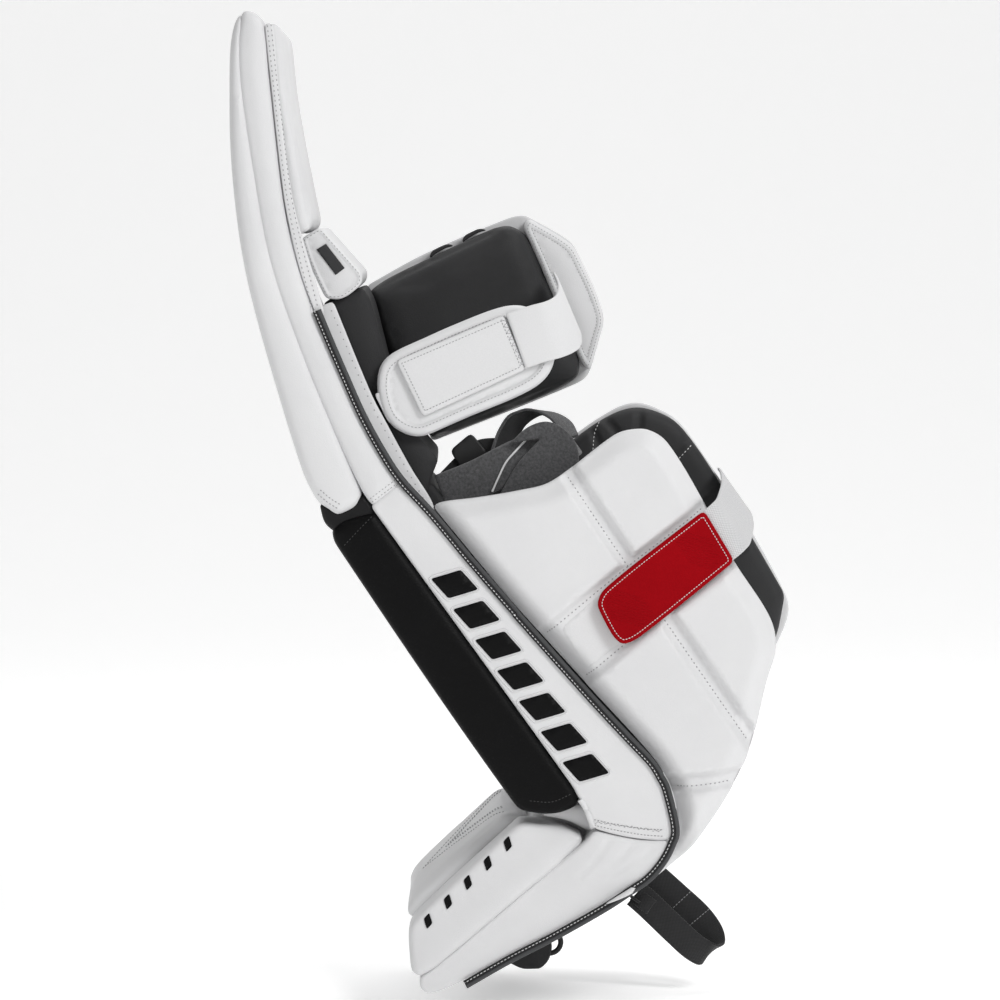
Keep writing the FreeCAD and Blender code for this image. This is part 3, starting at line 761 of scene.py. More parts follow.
def pad(name, section, outline, outer, inner, look, moves, replaced=(), padded=None, along=3, sharp=40,
        relax=2,
        **more):
    loop = smoothLoop(anticlockwise(np.array(outline, float)), along, sharp, relax)
    shape = padShape(section, loop, outer, inner, **more)
    finish(padMesh(name, shape, look[0]), moves, look[1], replaced)
    return shape


def sewn(shape, paths, lift=threadLift, step=sewnStep):
    # runs given on the flat and laid on a cover
    return [onCover(shape, smoothPath(path, step), lift) for path in paths]


def edgeRuns(shape, *insets):
    return [onCover(shape, insetLoop(shape, inset), threadLift) for inset in insets]


def insideRuns(shape, runs, margin):
    inner = [run[insideLoop(run, shape["loop"])] for run in runs]
    inner = [run[pathDistance(run, shape["loop"], True) > margin] for run in inner]
    return [onCover(shape, run, threadLift) for run in inner]


def onFace(piece, section, path, lift=0.15):
    # points given as (up, depth) and pressed onto a piece from the pad's front
    polygons = [tuple(polygon.vertices) for polygon in piece.data.polygons]
    tree = BVHTree.FromPolygons([vertex.co for vertex in piece.data.vertices], polygons)
    back, found = Vector(section["back"]), []
    for up, depth in smoothPath(path, sewnStep):
        start = Vector(toWorld(section, [(-200, up)], depth)[0])
        hit = tree.ray_cast(start, back)[0]
        if hit is not None:
            found.append(np.array(hit - back * lift * metre))
    return np.array(found)


# Each joint's fabric: the two bodies it spans and two points, given in one section.
def place(section, across, up):
    return tuple(toWorld(section, [(across, up)], 0)[0])


kneeSkin = ("thigh", "shin", place(thigh, -33.4, 35.3), place(thigh, -14.9, -3.5))
breakSkin = ("thigh", "shin", place(shin, 20, 166), place(shin, 20, 146))
linerSkin = ("thigh", "shin", place(thigh, 20, 58), place(thigh, 34, 0))
ankleSkin = ("shin", "boot", place(boot, 3.8, -1.4), place(boot, 28.7, -32.7))

# Thigh rise.
rise = {"groove": [(-53.3, 133), (-61.2, 215), (-57.3, 301), (-51.2, 368)],
        "frontTop": [(-45.5, 398), (-41.0, 416), (-40, 423), (-43, 424), (-49, 416), (-56, 400)],
        "rearTop": [(-41, 424), (-42.5, 418), (-49, 402), (-56, 368), (-62, 301), (-66, 215), (-58, 133),
                    (-46, 62)],
        "frontFoot": [(-75.8, 14.8), (-71.7, 2.4), (-59.4, -12.8), (-50, -11.2), (-40.8, -8.3), (-35.7,
                                                                                                 -1.6),
                      (-33.9, 3.3)],
        "rearFoot": [(-33.2, 3.3), (-27.2, -11.4), (-0.8, 0.6), (-0.3, 4)],
        "seamStrip": [(-41.4, 262), (-42.6, 214), (-41.5, 190), (-37.5, 160), (-30, 158), (-31, 188), (-33,
                                                                                                       214)],
        "wedgeEdge": [(-36, 226), (-33, 200), (-27, 171), (-13, 168), (6, 176), (9, 184.5), (-17, 232.5)],
        "liner": [(-30, 168), (-14, 170), (6, 173), (10, 160), (11, 131), (11.5, 102), (13, 68), (21.6, 42),
                  (36, 14), (26, -1), (18, -15), (8, -10), (-7, 31), (-17, 67), (-24, 103), (-30, 136)],
        "flange": [(-36, 165), (-21, 168), (-7, 82), (0, 55), (12, 12), (22.5, -18), (23.5, -29), (19, -31),
                   (9, -12), (2, 2), (-8, 31), (-18, 67), (-25, 103), (-31, 136)]}
cover("thigh_front_roll", thigh, white, "thigh", padded=0.9, rim=9, crown=2.2, crownReach=20, innerRim=4,
      bulge=1.0, rings=10, edits=[((-74, 4), (-53, 403),
                                   rise["frontFoot"] + rise["groove"] + rise["frontTop"])])
cover("thigh_rear_roll", thigh, white, kneeSkin, padded=0.9, rim=5, crown=3.0, crownReach=16, innerRim=2,
      rings=8,
      edits=[((-47, 414), (-55.5, 133), rise["rearTop"]), ((-33.5, 2), (0, 5), rise["rearFoot"])])
cover("thigh_face_panel", thigh, white, "thigh", padded=0.9, puff={"swell": 4, "voxel": 6}, rim=3,
      innerRim=10,
      bulge=3, rings=30, step=9)
cover("thigh_core", thigh, white, "thigh", rim=2, innerRim=2, rings=16, step=9)
cover("thigh_inner_wall", thigh, white, "thigh", "high", rim=3, crown=1.5, step=6)
cover("thigh_back_panel", thigh, white, "thigh", padded=0.8, puff={"swell": 2.5, "voxel": 4}, rim=3,
      innerRim=3,
      bulge=1.0, rings=30)
cover("thigh_binding", thigh, white, "thigh", rim=1.6, step=3, edits=[((-41.4, 262), (-35, 214),
                                                                       rise["seamStrip"])])
cover("knee_wedge", thigh, white, "thigh", padded=0.9, rim=2.5, crown=1.0, innerRim=3, rings=30, hem=(3.5,
                                                                                                      0.7),
      edits=[((-34, 222), (-14, 229), rise["wedgeEdge"])])
cover("care_tag", thigh, (softBlack, "care_tag"), "thigh", rim=0.3, innerRim=0.2, step=2, sharp=20, relax=0)
pad("kneeLinerCover", thigh, rise["liner"], *depthSpan("knee_liner"), liner, linerSkin, ["knee_liner"], 0.7,
    sharp=24, relax=1, crown=2.5, crownReach=12, innerRim=6, rings=24, bulge=0.5)
flange = pad("flangeCover", thigh, rise["flange"], *depthSpan("thigh_flange"), white, kneeSkin,
             ["thigh_flange", "shin_flange"], sharp=30, rim=1.4)
print("thigh rise done")

# Gathered black fabric in the knee break.
gusset = [(8, 174), (16, 168), (26, 163), (36, 161), (44.5, 159), (44.5, 148), (42.3, 136), (34, 138), (14,
                                                                                                        140),
          (6, 146), (3.2, 152), (2.6, 160)]
pad("kneeBreakFabric", shin, gusset, -135.5, 134, (deepBlack, "liner_fabric"), breakSkin,
    ["knee_break_fabric"],
    along=2, sharp=60, innerRim=4, rings=60, step=4, bulge=0.4)

# Shin.
shinEdges = {"rollTop": [(43.6, 141), (35.4, 144.5), (16, 151), (4, 150), (-0.5, 139)],
             "rollFoot": [(-5.5, -137), (2, -148), (19.3, -161.5), (37.5, -166.5), (44.5, -160)],
             "foot": [(44.2, -150), (42.7, -160), (43.4, -170), (41.4, -181.5), (38, -190.5), (52, -207.7),
                      (67.5, -223), (86, -237.5), (99, -230), (107, -214)],
             "top": [(88, 15), (81.5, 111), (74, 151), (58, 149), (43, 148)],
             "back": [(108, -205), (112, -186), (112, -170), (107, -140), (101, -89)]}
cover("shin_outer_roll", shin, black, "shin", padded=0.9, rim=7, crown=1.6, crownReach=14, innerRim=3,
      rings=10,
      bulge=0.6, step=6,
      edits=[((43, 146), (0, 137), shinEdges["rollTop"]), ((2, -141), (43, -161), shinEdges["rollFoot"])])
cover("shin_side_panel", shin, white, "shin", padded=0.9, rim=3.5, crown=1.8, innerRim=1,
      edits=[((43.5, -158), (101, -213), shinEdges["foot"]), ((88, 15), (43.5, 145), shinEdges["top"]),
             ((101, -212), (109, -169), shinEdges["back"])])
cover("shin_face_panel", shin, white, "shin", padded=0.9, puff={"swell": 4, "voxel": 6}, rim=3, innerRim=10,
      bulge=2.5, rings=30, step=8)
cover("shin_core", shin, white, "shin", rim=1.5, innerRim=1.5, rings=16, step=9)
cover("shin_inner_wall", shin, white, "shin", "high", rim=3, crown=1.5, step=6)
cover("leg_channel_liner", shin, liner, "shin", padded=0.7, rim=5, innerRim=5, rings=24, bulge=0.5)
print("shin done")

# Boot. Its side panel flares out to the shin's where the two are sewn together.
flare = {"rise": 13.2, "reach": 78, "seam": np.array([(-19, -22.9), (-1.4, -10.8), (16, 2.5), (30.6,
                                                                                               16.9)])}
bootEdges = {"side": [(43, -20), (43.5, 0), (40, 14), (32, 20), (16, 2.5), (-1.4, -10.8), (-19, -22.9),
                      (-17.5, -34), (-17.6, -43.5), (-20.7, -106.7), (-25.6, -206), (-27, -222), (-20,
                                                                                                  -228),
                      (-12.2, -226.7), (-6.5, -217)],
             "rear": [(-6, -216), (2, -192), (13, -148), (25, -105), (35.5, -61), (40, -36)],
             "roll": [(-67, -66), (-67, -190), (-62, -201), (-36, -223), (-28, -221), (-24.5, -206), (-19.5,
                                                                                                      -107),
                      (-16, -42), (-21, -34), (-37.6, -42), (-60, -59)],
             "recess": [(-58, -50), (-37, -35), (-17, -27), (-8, -14), (12, 2), (22, 12), (14, 20), (-6, 8),
                        (-26, -6), (-50, -26)]}
bootCreases = [[(-4, -20), (0, -38), (2, -60)], [(12, -8), (14, -30), (13, -50)], [(26, 4), (27, -18), (24,
                                                                                                        -40)]]


def creased(paths, flat, slope, depth):
    return [valley(smoothPath(path), flat, slope, depth) for path in paths]


def bootFlare(points):
    return flare["rise"] * (1 - smoothStep(pathDistance(points, flare["seam"]) / flare["reach"]))


def rollRise(points):
    return 4.5 * smoothStep((points[:, 0] + 60) / 40)


bootRoll = pad("bootRollCover", boot, bootEdges["roll"], -127, -80, white, "boot", ["boot_outer_roll"], 0.9,
               rim=5.5, crown=1.0, crownReach=16, innerRim=3, rings=10, bulge=0.6, warp=rollRise)
cover("boot_side_panel", boot, white, ankleSkin, padded=0.9, rim=3.5, crown=1.8, innerRim=1, warp=bootFlare,
      edits=[((33, 6), (-13, -214), bootEdges["side"]), ((-13, -214), (35, -15), bootEdges["rear"])],
      valleys=creased(bootCreases, 0.3, 5.0, 0.9))
cover("boot_face_panel", boot, white, "boot", padded=0.9, puff={"swell": 3, "voxel": 5}, rim=3, innerRim=8,
      bulge=2,
      rings=30, step=8)
cover("boot_core", boot, white, "boot", rim=1.5, innerRim=1.5, rings=16, step=9)
cover("boot_inner_wall", boot, white, "boot", "high", rim=3, crown=1.5, step=6)
cover("skate_channel_liner", boot, liner, "boot", padded=0.6, rim=2, innerRim=2, rings=16)
cover("toe_anchor", boot, webbing, "boot", rim=1.2, innerRim=1.2, rings=6, step=3)
# White gathered leather round the recess between the shin's roll and the boot's.
pad("ankleRecess", boot, bootEdges["recess"], -116, 100, white, ankleSkin, sharp=60, rim=5, crown=1.0,
    crownReach=12, innerRim=4, rings=24)
print("boot done")

# Corded piping: a folded strip with a row of stitches and a cord along its outer edge.
piping = {"width": 4.2, "thick": 2.6, "edge": 0.9, "cord": 1.9, "cordSet": 3.6, "cordLift": 0.3,
          "threadSet": -0.2,
          "out": -141.8}
upperLine = [(thigh, [(-37.5, 163), (-33, 136), (-27, 103), (-20, 67), (-10, 31)]),
             (shin, [(75.8, 150), (80.5, 111), (84, 63), (88.5, 15), (90, 0)])]
lowerLine = [(shin, [(89.5, 0), (99.2, -90.7), (105.5, -140), (109.8, -172), (109, -187), (106.5, -200)]),
             (boot, [(25.5, 28.5), (33.5, 17), (39.3, 1), (41.7, -18), (39.3, -36.8), (35.3, -62.8),
                     (24.8, -108.5), (12.6, -152.8), (2.5, -196)])]
lowerDepths = [piping["out"]] * 7 + [-141, -139.5, -136.5, -134, -131, -129, -128.3, -128.3]


def pipingPieces(name, stretches, depths, moves, nodes):
    depth, side = iter(depths), np.array([0, -1, 0])
    line = joinedPath([(section, [(a, b, next(depth)) for a, b in points]) for section,
                       points in stretches], 2.0)
    outward = unitRows(np.cross(unitRows(np.gradient(line, axis=0)), side))
    if outward[:, 0].sum() < 0:
        outward = -outward
    shifted = lambda offset, lift: [line + (outward * offset + side * lift) * metre]
    sweepBand(name + "Strip", line, outward, piping["width"], piping["thick"], (darkPiping, "grey_piping"),
              moves,
              nodes, piping["edge"])
    beads(name + "Cord", shifted(piping["cordSet"], piping["cordLift"]), moves, (greyPiping, "grey_piping"),
          piping["cord"])
    stitches(name + "Thread", shifted(piping["threadSet"], piping["thick"] / 2 + threadLift), moves,
             (3.4, 2.3, 0.36), "grey_piping", threadWhite)


pipingPieces("upperPiping", upperLine, [piping["out"]] * 10, kneeSkin, ["thigh_piping"])
pipingPieces("lowerPiping", lowerLine, lowerDepths, ankleSkin, ["shin_piping", "boot_piping"])
print("piping done")

# Leg wraps: the root by the piping and the swinging panel are one sewn sheet.
wrap = {"crown": 8.2, "crownReach": 17, "pipingHem": 4, "hemFrom": 210, "hemFade": 20, "flat": 3.4,
        "slope": 7.0,
        "depth": 7.6, "laneHalf": 26.5, "hinge": 117, "hingeDepth": 135, "bend": (0.013, 0.016)}
channels = {"upper": [(199, 90), (197.5, 40), (196.5, 5), (196, -22)],
            "lower": [(195, -75), (194, -140), (193, -222)],
            "foot": [(112, -196), (140, -212), (178, -232)],
            "lane": [(88, -56), (120, -53), (192, -47.5), (240, -45.5), (290, -43)]}
pipingEdge = np.array([(80.5, 116), (88.5, 15), (100.5, -89), (109.5, -165), (107, -205), (97, -232), (76,
                                                                                                       -249),
                       (50, -256)], float)


def wrapMoves(body, side):
    axis = Vector(jointNamed["lateral_wrap_swing"]["axis"]).normalized()
    centre = Vector(toWorld(shin, [(wrap["hinge"], 0)], side * wrap["hingeDepth"])[0])
    outward = (shin["back"] - axis * shin["back"].dot(axis)).normalized()
    return ("shin", body, centre - outward * wrap["bend"][0], centre + outward * wrap["bend"][1])


def pipingHem(points):
    away = pathDistance(points, pipingEdge)
    return -wrap["crown"] * (1 - smoothStep((away - wrap["pipingHem"]) / wrap["crownReach"])) \
        * smoothStep((wrap["hemFrom"] - points[:, 0]) / wrap["hemFade"])


wrapCorners = joinCorners(nodeCorners("lateral_wrap_root", shin), nodeCorners("lateral_wrap", shin))
wrapCorners = reshaped(wrapCorners, (8, -247), (8, -247), [(6, -250)])
wrapValleys = [valley(smoothPath(path, 4), wrap["laneHalf"] if key == "lane" else wrap["flat"],
                      wrap["slope"],
                      wrap["depth"]) for key, path in channels.items()]
nearMoves = wrapMoves("lateral_wrap", -1)
farMoves = wrapMoves("medial_wrap", 1)
nearWrap = pad("lateralWrapCover", shin, wrapCorners, -139.4, -130, white, nearMoves,
               ["lateral_wrap", "lateral_wrap_root", "strap_landing"], 0.8, sharp=42, relax=3, rim=3.0,
               crown=wrap["crown"], crownReach=wrap["crownReach"], valleys=wrapValleys, warp=pipingHem,
               innerRim=1.5, step=4.0, hemFlat=0.5)
laneFill = np.array([(112, -74), (195, -70), (266, -63), (270, -27), (195, -25), (116, -33)], float)
lanePatch = decal("strapLandingPile", nearWrap, smoothLoop(laneFill, 3, 40, 2), 0.25, loopPile, 0.4)
finish(lanePatch, nearMoves, "white_leather")
farCorners = joinCorners(nodeCorners("medial_wrap_root", shin, "low"), nodeCorners("medial_wrap", shin,
                                                                                   "low"))
farValleys = [valley(smoothPath([(205, 88), (200, 0), (193, -215)], 4), 2.0, 5.0, 2.0),
              valley(smoothPath([(100, -56), (200, -50), (296, -46)], 4), 26, 5.0, 1.6)]
farWrap = pad("medialWrapCover", shin, farCorners, 140, 130, white, farMoves, ["medial_wrap",
                                                                               "medial_wrap_root"],
              0.8, sharp=42, relax=3, crown=2.0, crownReach=16, valleys=farValleys, innerRim=1.5, step=6,
              hemFlat=3)
cover("lateral_wrap_lining", shin, liner, "lateral_wrap", "high", rim=2, innerRim=0.5)
liningLoop = smoothLoop(nodeCorners("medial_wrap_lining", shin, "high"))
liningLoop = liningLoop + loopNormals(liningLoop) * 5.5
liningCreases = [[(236, 84), (232, 60), (222, 40)], [(250, 84), (252, 62), (246, 44)],
                 [(284, 70), (272, 54), (258, 44)], [(306, 20), (286, 16), (262, 18)],
                 [(306, -30), (284, -34), (262, -30)], [(300, -90), (276, -92), (250, -84)]]
lining = padShape(shin, liningLoop, depthSpan("medial_wrap_lining")[0], 131, rim=9, crown=2,
                  valleys=creased(liningCreases, 0.4, 6.0, 2.2))
finish(padMesh("medialWrapLiningCover", lining, softBlack), "medial_wrap", "liner_fabric",
       ["medial_wrap_lining"])
print("wraps done")

# Straps: calf strap with its sewn anchor, leather tab and hook tape.
upShin, upThigh, upBoot = (np.array(section["up"]) for section in (shin, thigh, boot))
calf = {"middle": -44.5, "width": 49, "thick": 2.4, "threadInset": 3.6, "ribInset": 6.5, "ribPitch": 3.2,
        "ribLean": -0.75, "ribSpans": ((156, 188), (238, 268)), "ribRadius": 0.65}
middle = calf["middle"]
calfPath = spacePath(shin, [(309.5, middle, 137), (309, middle, 100), (307, middle, 55), (302, middle, -20),
                            (294, middle, -90), (288.5, middle, -128), (283, middle, -141.5),
                            (275, middle - 0.5, -145.8), (262, middle - 1, -146)])
sweepBand("calfStrapWeb", calfPath, upShin, calf["width"], calf["thick"], elastic, "calf_strap",
          ["calf_strap_web"])
anchorPath = spacePath(shin, [(245, middle, 143), (280, middle, 143), (304, middle, 142.6)])
sweepBand("calfStrapAnchorWeb", anchorPath, upShin, calf["width"], calf["thick"], elastic, "medial_wrap",
          ["calf_strap_anchor"])
cover("calf_strap_tab", shin, redTab, "calf_strap", rim=1.2, crown=0.3, crownReach=3, innerRim=0.8, rings=3,
      step=3, relax=3, hem=(4.6, 0.25))
cover("calf_strap_hook", shin, (loopPile, "hook_tape"), "calf_strap", rim=0.5, innerRim=0.4, rings=3)
calfTab = shapes["calf_strap_tab"]
stitches("tabThread", edgeRuns(calfTab, calf["threadInset"]), "calf_strap", (2.7, 2.0, 0.36), "red_leather",
         threadWhite)


def slantedLines(loop, inset, low, high, pitch, lean):
    # parallel runs across an outline, kept inside it and between two places along it
    runs = []
    for start in np.arange(low, high, pitch):
        heights = np.linspace(loop[:, 1].min(), loop[:, 1].max(), 90)
        line = np.stack([start + (heights - heights.mean()) * lean, heights], 1)
        line = line[insideLoop(line, loop) & (line[:, 0] > low) & (line[:, 0] < high)]
        line = line[pathDistance(line, loop, True) > inset] if len(line) else line
        if len(line) > 6:
            runs.append(line)
    return runs


ribs = [run for span in calf["ribSpans"]
        for run in slantedLines(calfTab["loop"], calf["ribInset"], *span, calf["ribPitch"],
                                calf["ribLean"])]
beads("tabRibs", [onCover(calfTab, run, -0.3) for run in ribs], "calf_strap", redTab, calf["ribRadius"],
      sides=6)
print("calf strap done")

# Knee stack, wing and strap.
cover("knee_block", thigh, (softBlack, "black_leather"), "knee_stack", padded=0.9,
      puff={"swell": 2.5, "voxel": 4.0}, rim=8, crown=2.0, innerRim=3, rings=10, bulge=1.0)
cover("knee_block_cap", thigh, white, "knee_stack", rim=5, crown=1.5, innerRim=2, rings=12, hem=(5, 0.5))
cover("knee_block_shell", thigh, white, "knee_stack", "high", crown=2.0, rings=5, hem=(8, 0.6))
for number in (1, 2):
    cover(f"knee_block_loop_{number}", thigh, webbing, "knee_stack", rim=0.8, innerRim=0.8, step=2)
cover("knee_strap_anchor", thigh, whiteTab, "knee_stack", rim=0.8, innerRim=0.8)
wingOutline = [(1, 93), (8, 106.5), (20, 112.5), (48.5, 118.4), (74, 123.4), (119, 129.5), (138, 126), (151,
                                                                                                        113),
               (155.5, 92), (151, 73), (138.7, 60.4), (115.9, 53), (67.3, 44.8), (42.4, 40), (25.1, 37.8),
               (10.2, 45.6), (1, 58), (-1.5, 77)]
wingSpan = depthSpan("knee_wing")
wing = pad("kneeWingCover", thigh, wingOutline, *wingSpan, white, "knee_wing", ["knee_wing"], 0.8, sharp=80,
           relax=6, crown=0.5, crownReach=8, innerRim=4, rings=8, step=4, hem=(8.5, 1.4), bulge=0.8)
cover("knee_wing_hinge", thigh, whiteTab, "thigh", rim=0.8, innerRim=0.8)
tabOutline = [(19.9, 105.7), (31.6, 53.7), (127.7, 73.7), (118.9, 123.3)]
kneeTab = pad("kneeStrapTabCover", thigh, tabOutline, wingSpan[0] - 4.6, wingSpan[0] - 0.9,
              (loopPile, "white_leather"), "knee_strap", ["knee_strap_tab"], sharp=30, rim=1.6, crown=0.4,
              crownReach=5, innerRim=0.6, step=4)


def zigzag(start, stride, swing, count):
    steps = np.arange(count)[:, None]
    return np.array(start) + steps * np.array(stride) + steps % 2 * np.array(swing)


stitches("kneeTabThread", edgeRuns(kneeTab, 4.0), "knee_strap", (3.0, 1.9, 0.34))
stitches("kneeTabZigzag", sewn(kneeTab, [zigzag((116, 119.5), (0.5625, -2.85), (3.4, 0), 16)], step=1.0),
         "knee_strap", (1.6, 1.5, 0.32))
middle = 102
kneePath = spacePath(thigh, [(176.5, middle + 20, 52), (177, middle + 16, 10), (176.5, middle + 10, -50),
                             (173, middle + 4, -95), (167, middle + 1, -114), (157, middle - 0.5, -125.5),
                             (142, middle - 1, -127.6), (124, middle - 3, -127)])
sweepBand("kneeStrapWeb", kneePath, upThigh * 0.985 - 0.17 * np.array(thigh["back"]), 50, 2.6,
          (loopPile, "white_webbing"), "knee_strap", ["knee_strap_web"])
print("knee done")

# Felt strap across the mouth of the leg channel, with its pull loop, fold and buckle.
feltPath = spacePath(shin, [(97, 119, -93), (130, 111, -91), (165, 105.5, -86), (192, 99, -74), (209, 92,
                                                                                                 -52),
                            (214, 88, 0), (212, 86, 50), (209, 85, 97)])
sweepBand("innerFeltStrap", feltPath, upShin, 34, 6, felt, "shin", ["inner_felt_strap"], 2.2)
foldOutline = [(171.5, 120.5), (193, 122.5), (210, 115), (218, 92.5), (211, 73.5), (193, 61.5), (142.5,
                                                                                                 79.5),
               (136.5, 88.5), (166.5, 102), (195, 108)]
pad("feltFold", shin, foldOutline, -96.8, -91, felt, "shin", along=2, sharp=50, rim=1.4, crown=0.6,
    crownReach=8,
    step=4)
edging = spacePath(shin, [(134, 95, -95.2), (146, 102, -94.5), (158, 108.5, -93), (170, 111.5, -90.5),
                          (186, 114.5, -84)])
beads("feltEdging", [edging], "shin", (whiteLeather, "grey_felt"), 0.9)
loopPath = spacePath(shin, [(150, 108, -66), (162, 118, -60), (174, 126, -55), (188, 131, -51), (203, 129,
                                                                                                 -53),
                            (213, 120, -58), (218, 107, -62), (216, 93, -64)])
pullWide = np.array(shin["back"]) * 0.35 + np.array([0, 0.85, 0]) - upShin * 0.38
sweepBand("feltPullLoop", loopPath, pullWide, 34, 2.4, felt, "shin", ["felt_pull_loop"], 1.0)
sweepBand("feltPullLoopBack", loopPath - upShin * 1.9 * metre, pullWide, 32, 1.4, webbing, "shin", edge=0.6)
cover("buckle_web", shin, webbing, "shin", rim=0.8, innerRim=0.8, step=3)
cover("slide_buckle", shin, plastic, "shin", rim=1, step=3)

# Boot strap: a loop of webbing that hangs from its seam under the boot.
bootPaths = {"Web": [(38, -22, 3), (62, -22, 6), (90, -20, 9), (118, -18, 10), (136, -20, 9), (145.5, -25,
                                                                                               5),
                     (148.5, -30, -1), (145, -35, -7), (132, -38.5, -10), (112, -40, -10.5), (94, -41,
                                                                                              -9.5),
                     (78, -42, -8), (64, -43.5, -6.5)],
             "Hem": [(82, -41.5, -9), (74, -43, -9), (67, -44, -6), (66, -44.5, -2), (71, -44, 0.5),
                     (79, -43, -1.5), (84, -42, -6)],
             "Keeper": [(66, -33, 4), (60, -38, 1), (56, -44, -3), (62, -48, -6), (72, -46, -8)]}
for part, wide, width, thick, nodes in (("Web", upBoot, 25, 2.4, ["boot_strap_web"]), ("Hem", upBoot, 15,
                                                                                       2.8, ()),
                                        ("Keeper", np.array([0, 1.0, 0]), 12, 2.2, ())):
    path = spacePath(boot, bootPaths[part], 2.0 if part == "Web" else 1.5)
    sweepBand("bootStrap" + part, path, wide, width, thick, tape, "boot_strap", nodes)
tacks = [[(98, -31, 7.6), (98, -8.5, 7.6)], [(120, -29, 8.6), (121, -7, 8.6)]]
stitches("bootStrapThread", [spacePath(boot, tack, 1.5) for tack in tacks], "boot_strap", (3.0, 2.4, 0.35),
         "black_webbing")
cover("boot_strap_buckle", boot, plastic, "boot_strap", rim=1, step=3)

# Toe tie: a cord loop held by a webbing tab.
tie = {"middle": (44, -130), "radius": 10, "cord": 2.4}
turns = np.linspace(0, 2 * math.pi, 49)
tieRing = toWorld(boot, np.array(tie["middle"]) + tie["radius"] * np.stack([np.cos(turns), np.sin(turns)],
                                                                           1), 0)
tieRing[-1] = tieRing[0]
beads("toeTieCord", [tieRing], "toe_tie", webbing, tie["cord"], ["toe_tie_loop"], 12)
tieTab = [(28, -170), (44, -164), (50, -158), (55.5, -152), (55, -142), (50, -133), (44, -128), (38, -128),
          (34, -136), (22, -157)]
pad("toeTieTab", boot, tieTab, -6, 6, (softBlack, "black_plastic"), "toe_tie", ["toe_tie_connector"],
    along=2,
    rim=2, innerRim=2, rings=6, step=3)
print("straps done")

# White welt that closes the far wrap's root onto the pad's inner side.
weltPath = joinedPath([(shin, [(81, 116, 137.5), (88.5, 15, 137.5), (99, -89, 137.5), (107, -165, 136.5),
                               (104, -205, 134)]),
                       (boot, [(33, 13, 131), (37, -2, 127), (37, -18, 124), (34, -38, 122.5), (28, -62,
                                                                                                121.5)])])
sweepBand("farWelt", weltPath, np.array(shin["back"]), 15, 9, white, ankleSkin, edge=2.5)

# Plain slanted blocks: seven in raised outlines on the side panel, five small ones on the boot's roll.
blocks = {"first": (49, 67), "pitch": 32.4, "count": 7, "corners": [(0, 0), (25.5, -8.5), (28, -31), (2.5,
                                                                                                      -22.5)],
          "outline": 2.0, "outlineRadius": 0.8}
bars = {"first": (-60.5, -86), "stride": (0.5, -24), "count": 5,
        "corners": [(-4.5, 5.5), (4, 1.5), (4.5, -5.5), (-4, -1.5)]}


def joined(name, pieces):
    whole = bmesh.new()
    for piece in pieces:
        whole.from_mesh(piece.data)
        bpy.data.objects.remove(piece)
    mesh = bpy.data.meshes.new(name)
    whole.to_mesh(mesh)
    whole.free()
    mesh.materials.append(blackLeather)
    mesh.shade_smooth()
    item = bpy.data.objects.new(name, mesh)
    bpy.context.scene.collection.objects.link(item)
    return item


sidePanel, outlines, plates = shapes["shin_side_panel"], [], []
for number in range(blocks["count"]):
    corner = np.array(blocks["first"]) - (0, blocks["pitch"] * number)
    loop = smoothLoop(anticlockwise(np.array(blocks["corners"]) + corner), 2, 30, 1)
    plates.append(decal(f"sideBlock{number + 1}", sidePanel, loop, 0.7, blackLeather, thick=1.2, step=6))
    edge = loop + loopNormals(loop) * blocks["outline"]
    outlines.append(onCover(sidePanel, np.concatenate([edge, edge[:1]])))
finish(joined("sideBlocks", plates), "shin", "black_leather", ["side_panel_blocks"])
beads("sideBlockOutlines", outlines, "shin", white, blocks["outlineRadius"])
plates = []
for number in range(bars["count"]):
    corner = np.array(bars["first"]) + np.array(bars["stride"]) * number
    loop = smoothLoop(anticlockwise(np.array(bars["corners"]) + corner), 1.5, 30, 1)
    plates.append(decal(f"rollBar{number + 1}", bootRoll, loop, 0.25, blackLeather, 0.15, 0.4, step=3))
finish(joined("rollBars", plates), "boot", "black_leather")

# Sewing: each row has its name, runs, moves and (spacing, length, radius), then its slot and thread.
bindingRows = [[(-39.5, 168), (-40, 222), (-38.8, 262), (-32.6, 322), (-27.2, 366), (-21.8, 408)],
               [(-34.5, 168), (-35.6, 222), (-35.0, 262), (-28.8, 322), (-24.0, 366), (-18.6, 408)]]
seamRows = [[(40.5, -188.5), (55, -204.5), (70, -219.5), (82, -229.5)],
            [(43.5, -184.5), (58, -200.5), (73, -215), (85, -224.5)]]
flangeRow = [(-24, 160), (-19, 130), (-13, 95), (-6, 62), (4, 26), (16, -14)]
frontRows = [[(-70.5, 9.5), (-64, 1), (-58, -5)], [(-67.5, 12.5), (-61, 4), (-55, -2)]]
kneeRows = [[(-26.5, -6.8), (-14, -1.2), (-2.5, 3.6)], [(-27.5, -3.6), (-15, 2.0), (-4, 6.6)]]
farRows = [[(201, 88), (196, 0), (189, -215)], [(100, -31), (200, -25), (296, -21)],
           [(100, -81), (200, -75), (290, -71)]]
laneSide = wrap["laneHalf"] - 1.5
wrapRuns = [sidePoints(smoothPath(channels[key], sewnStep), offset) for key, offset in (
    ("upper", 3.0), ("lower", 3.0), ("foot", 3.0), ("lane", laneSide), ("lane", -laneSide))]
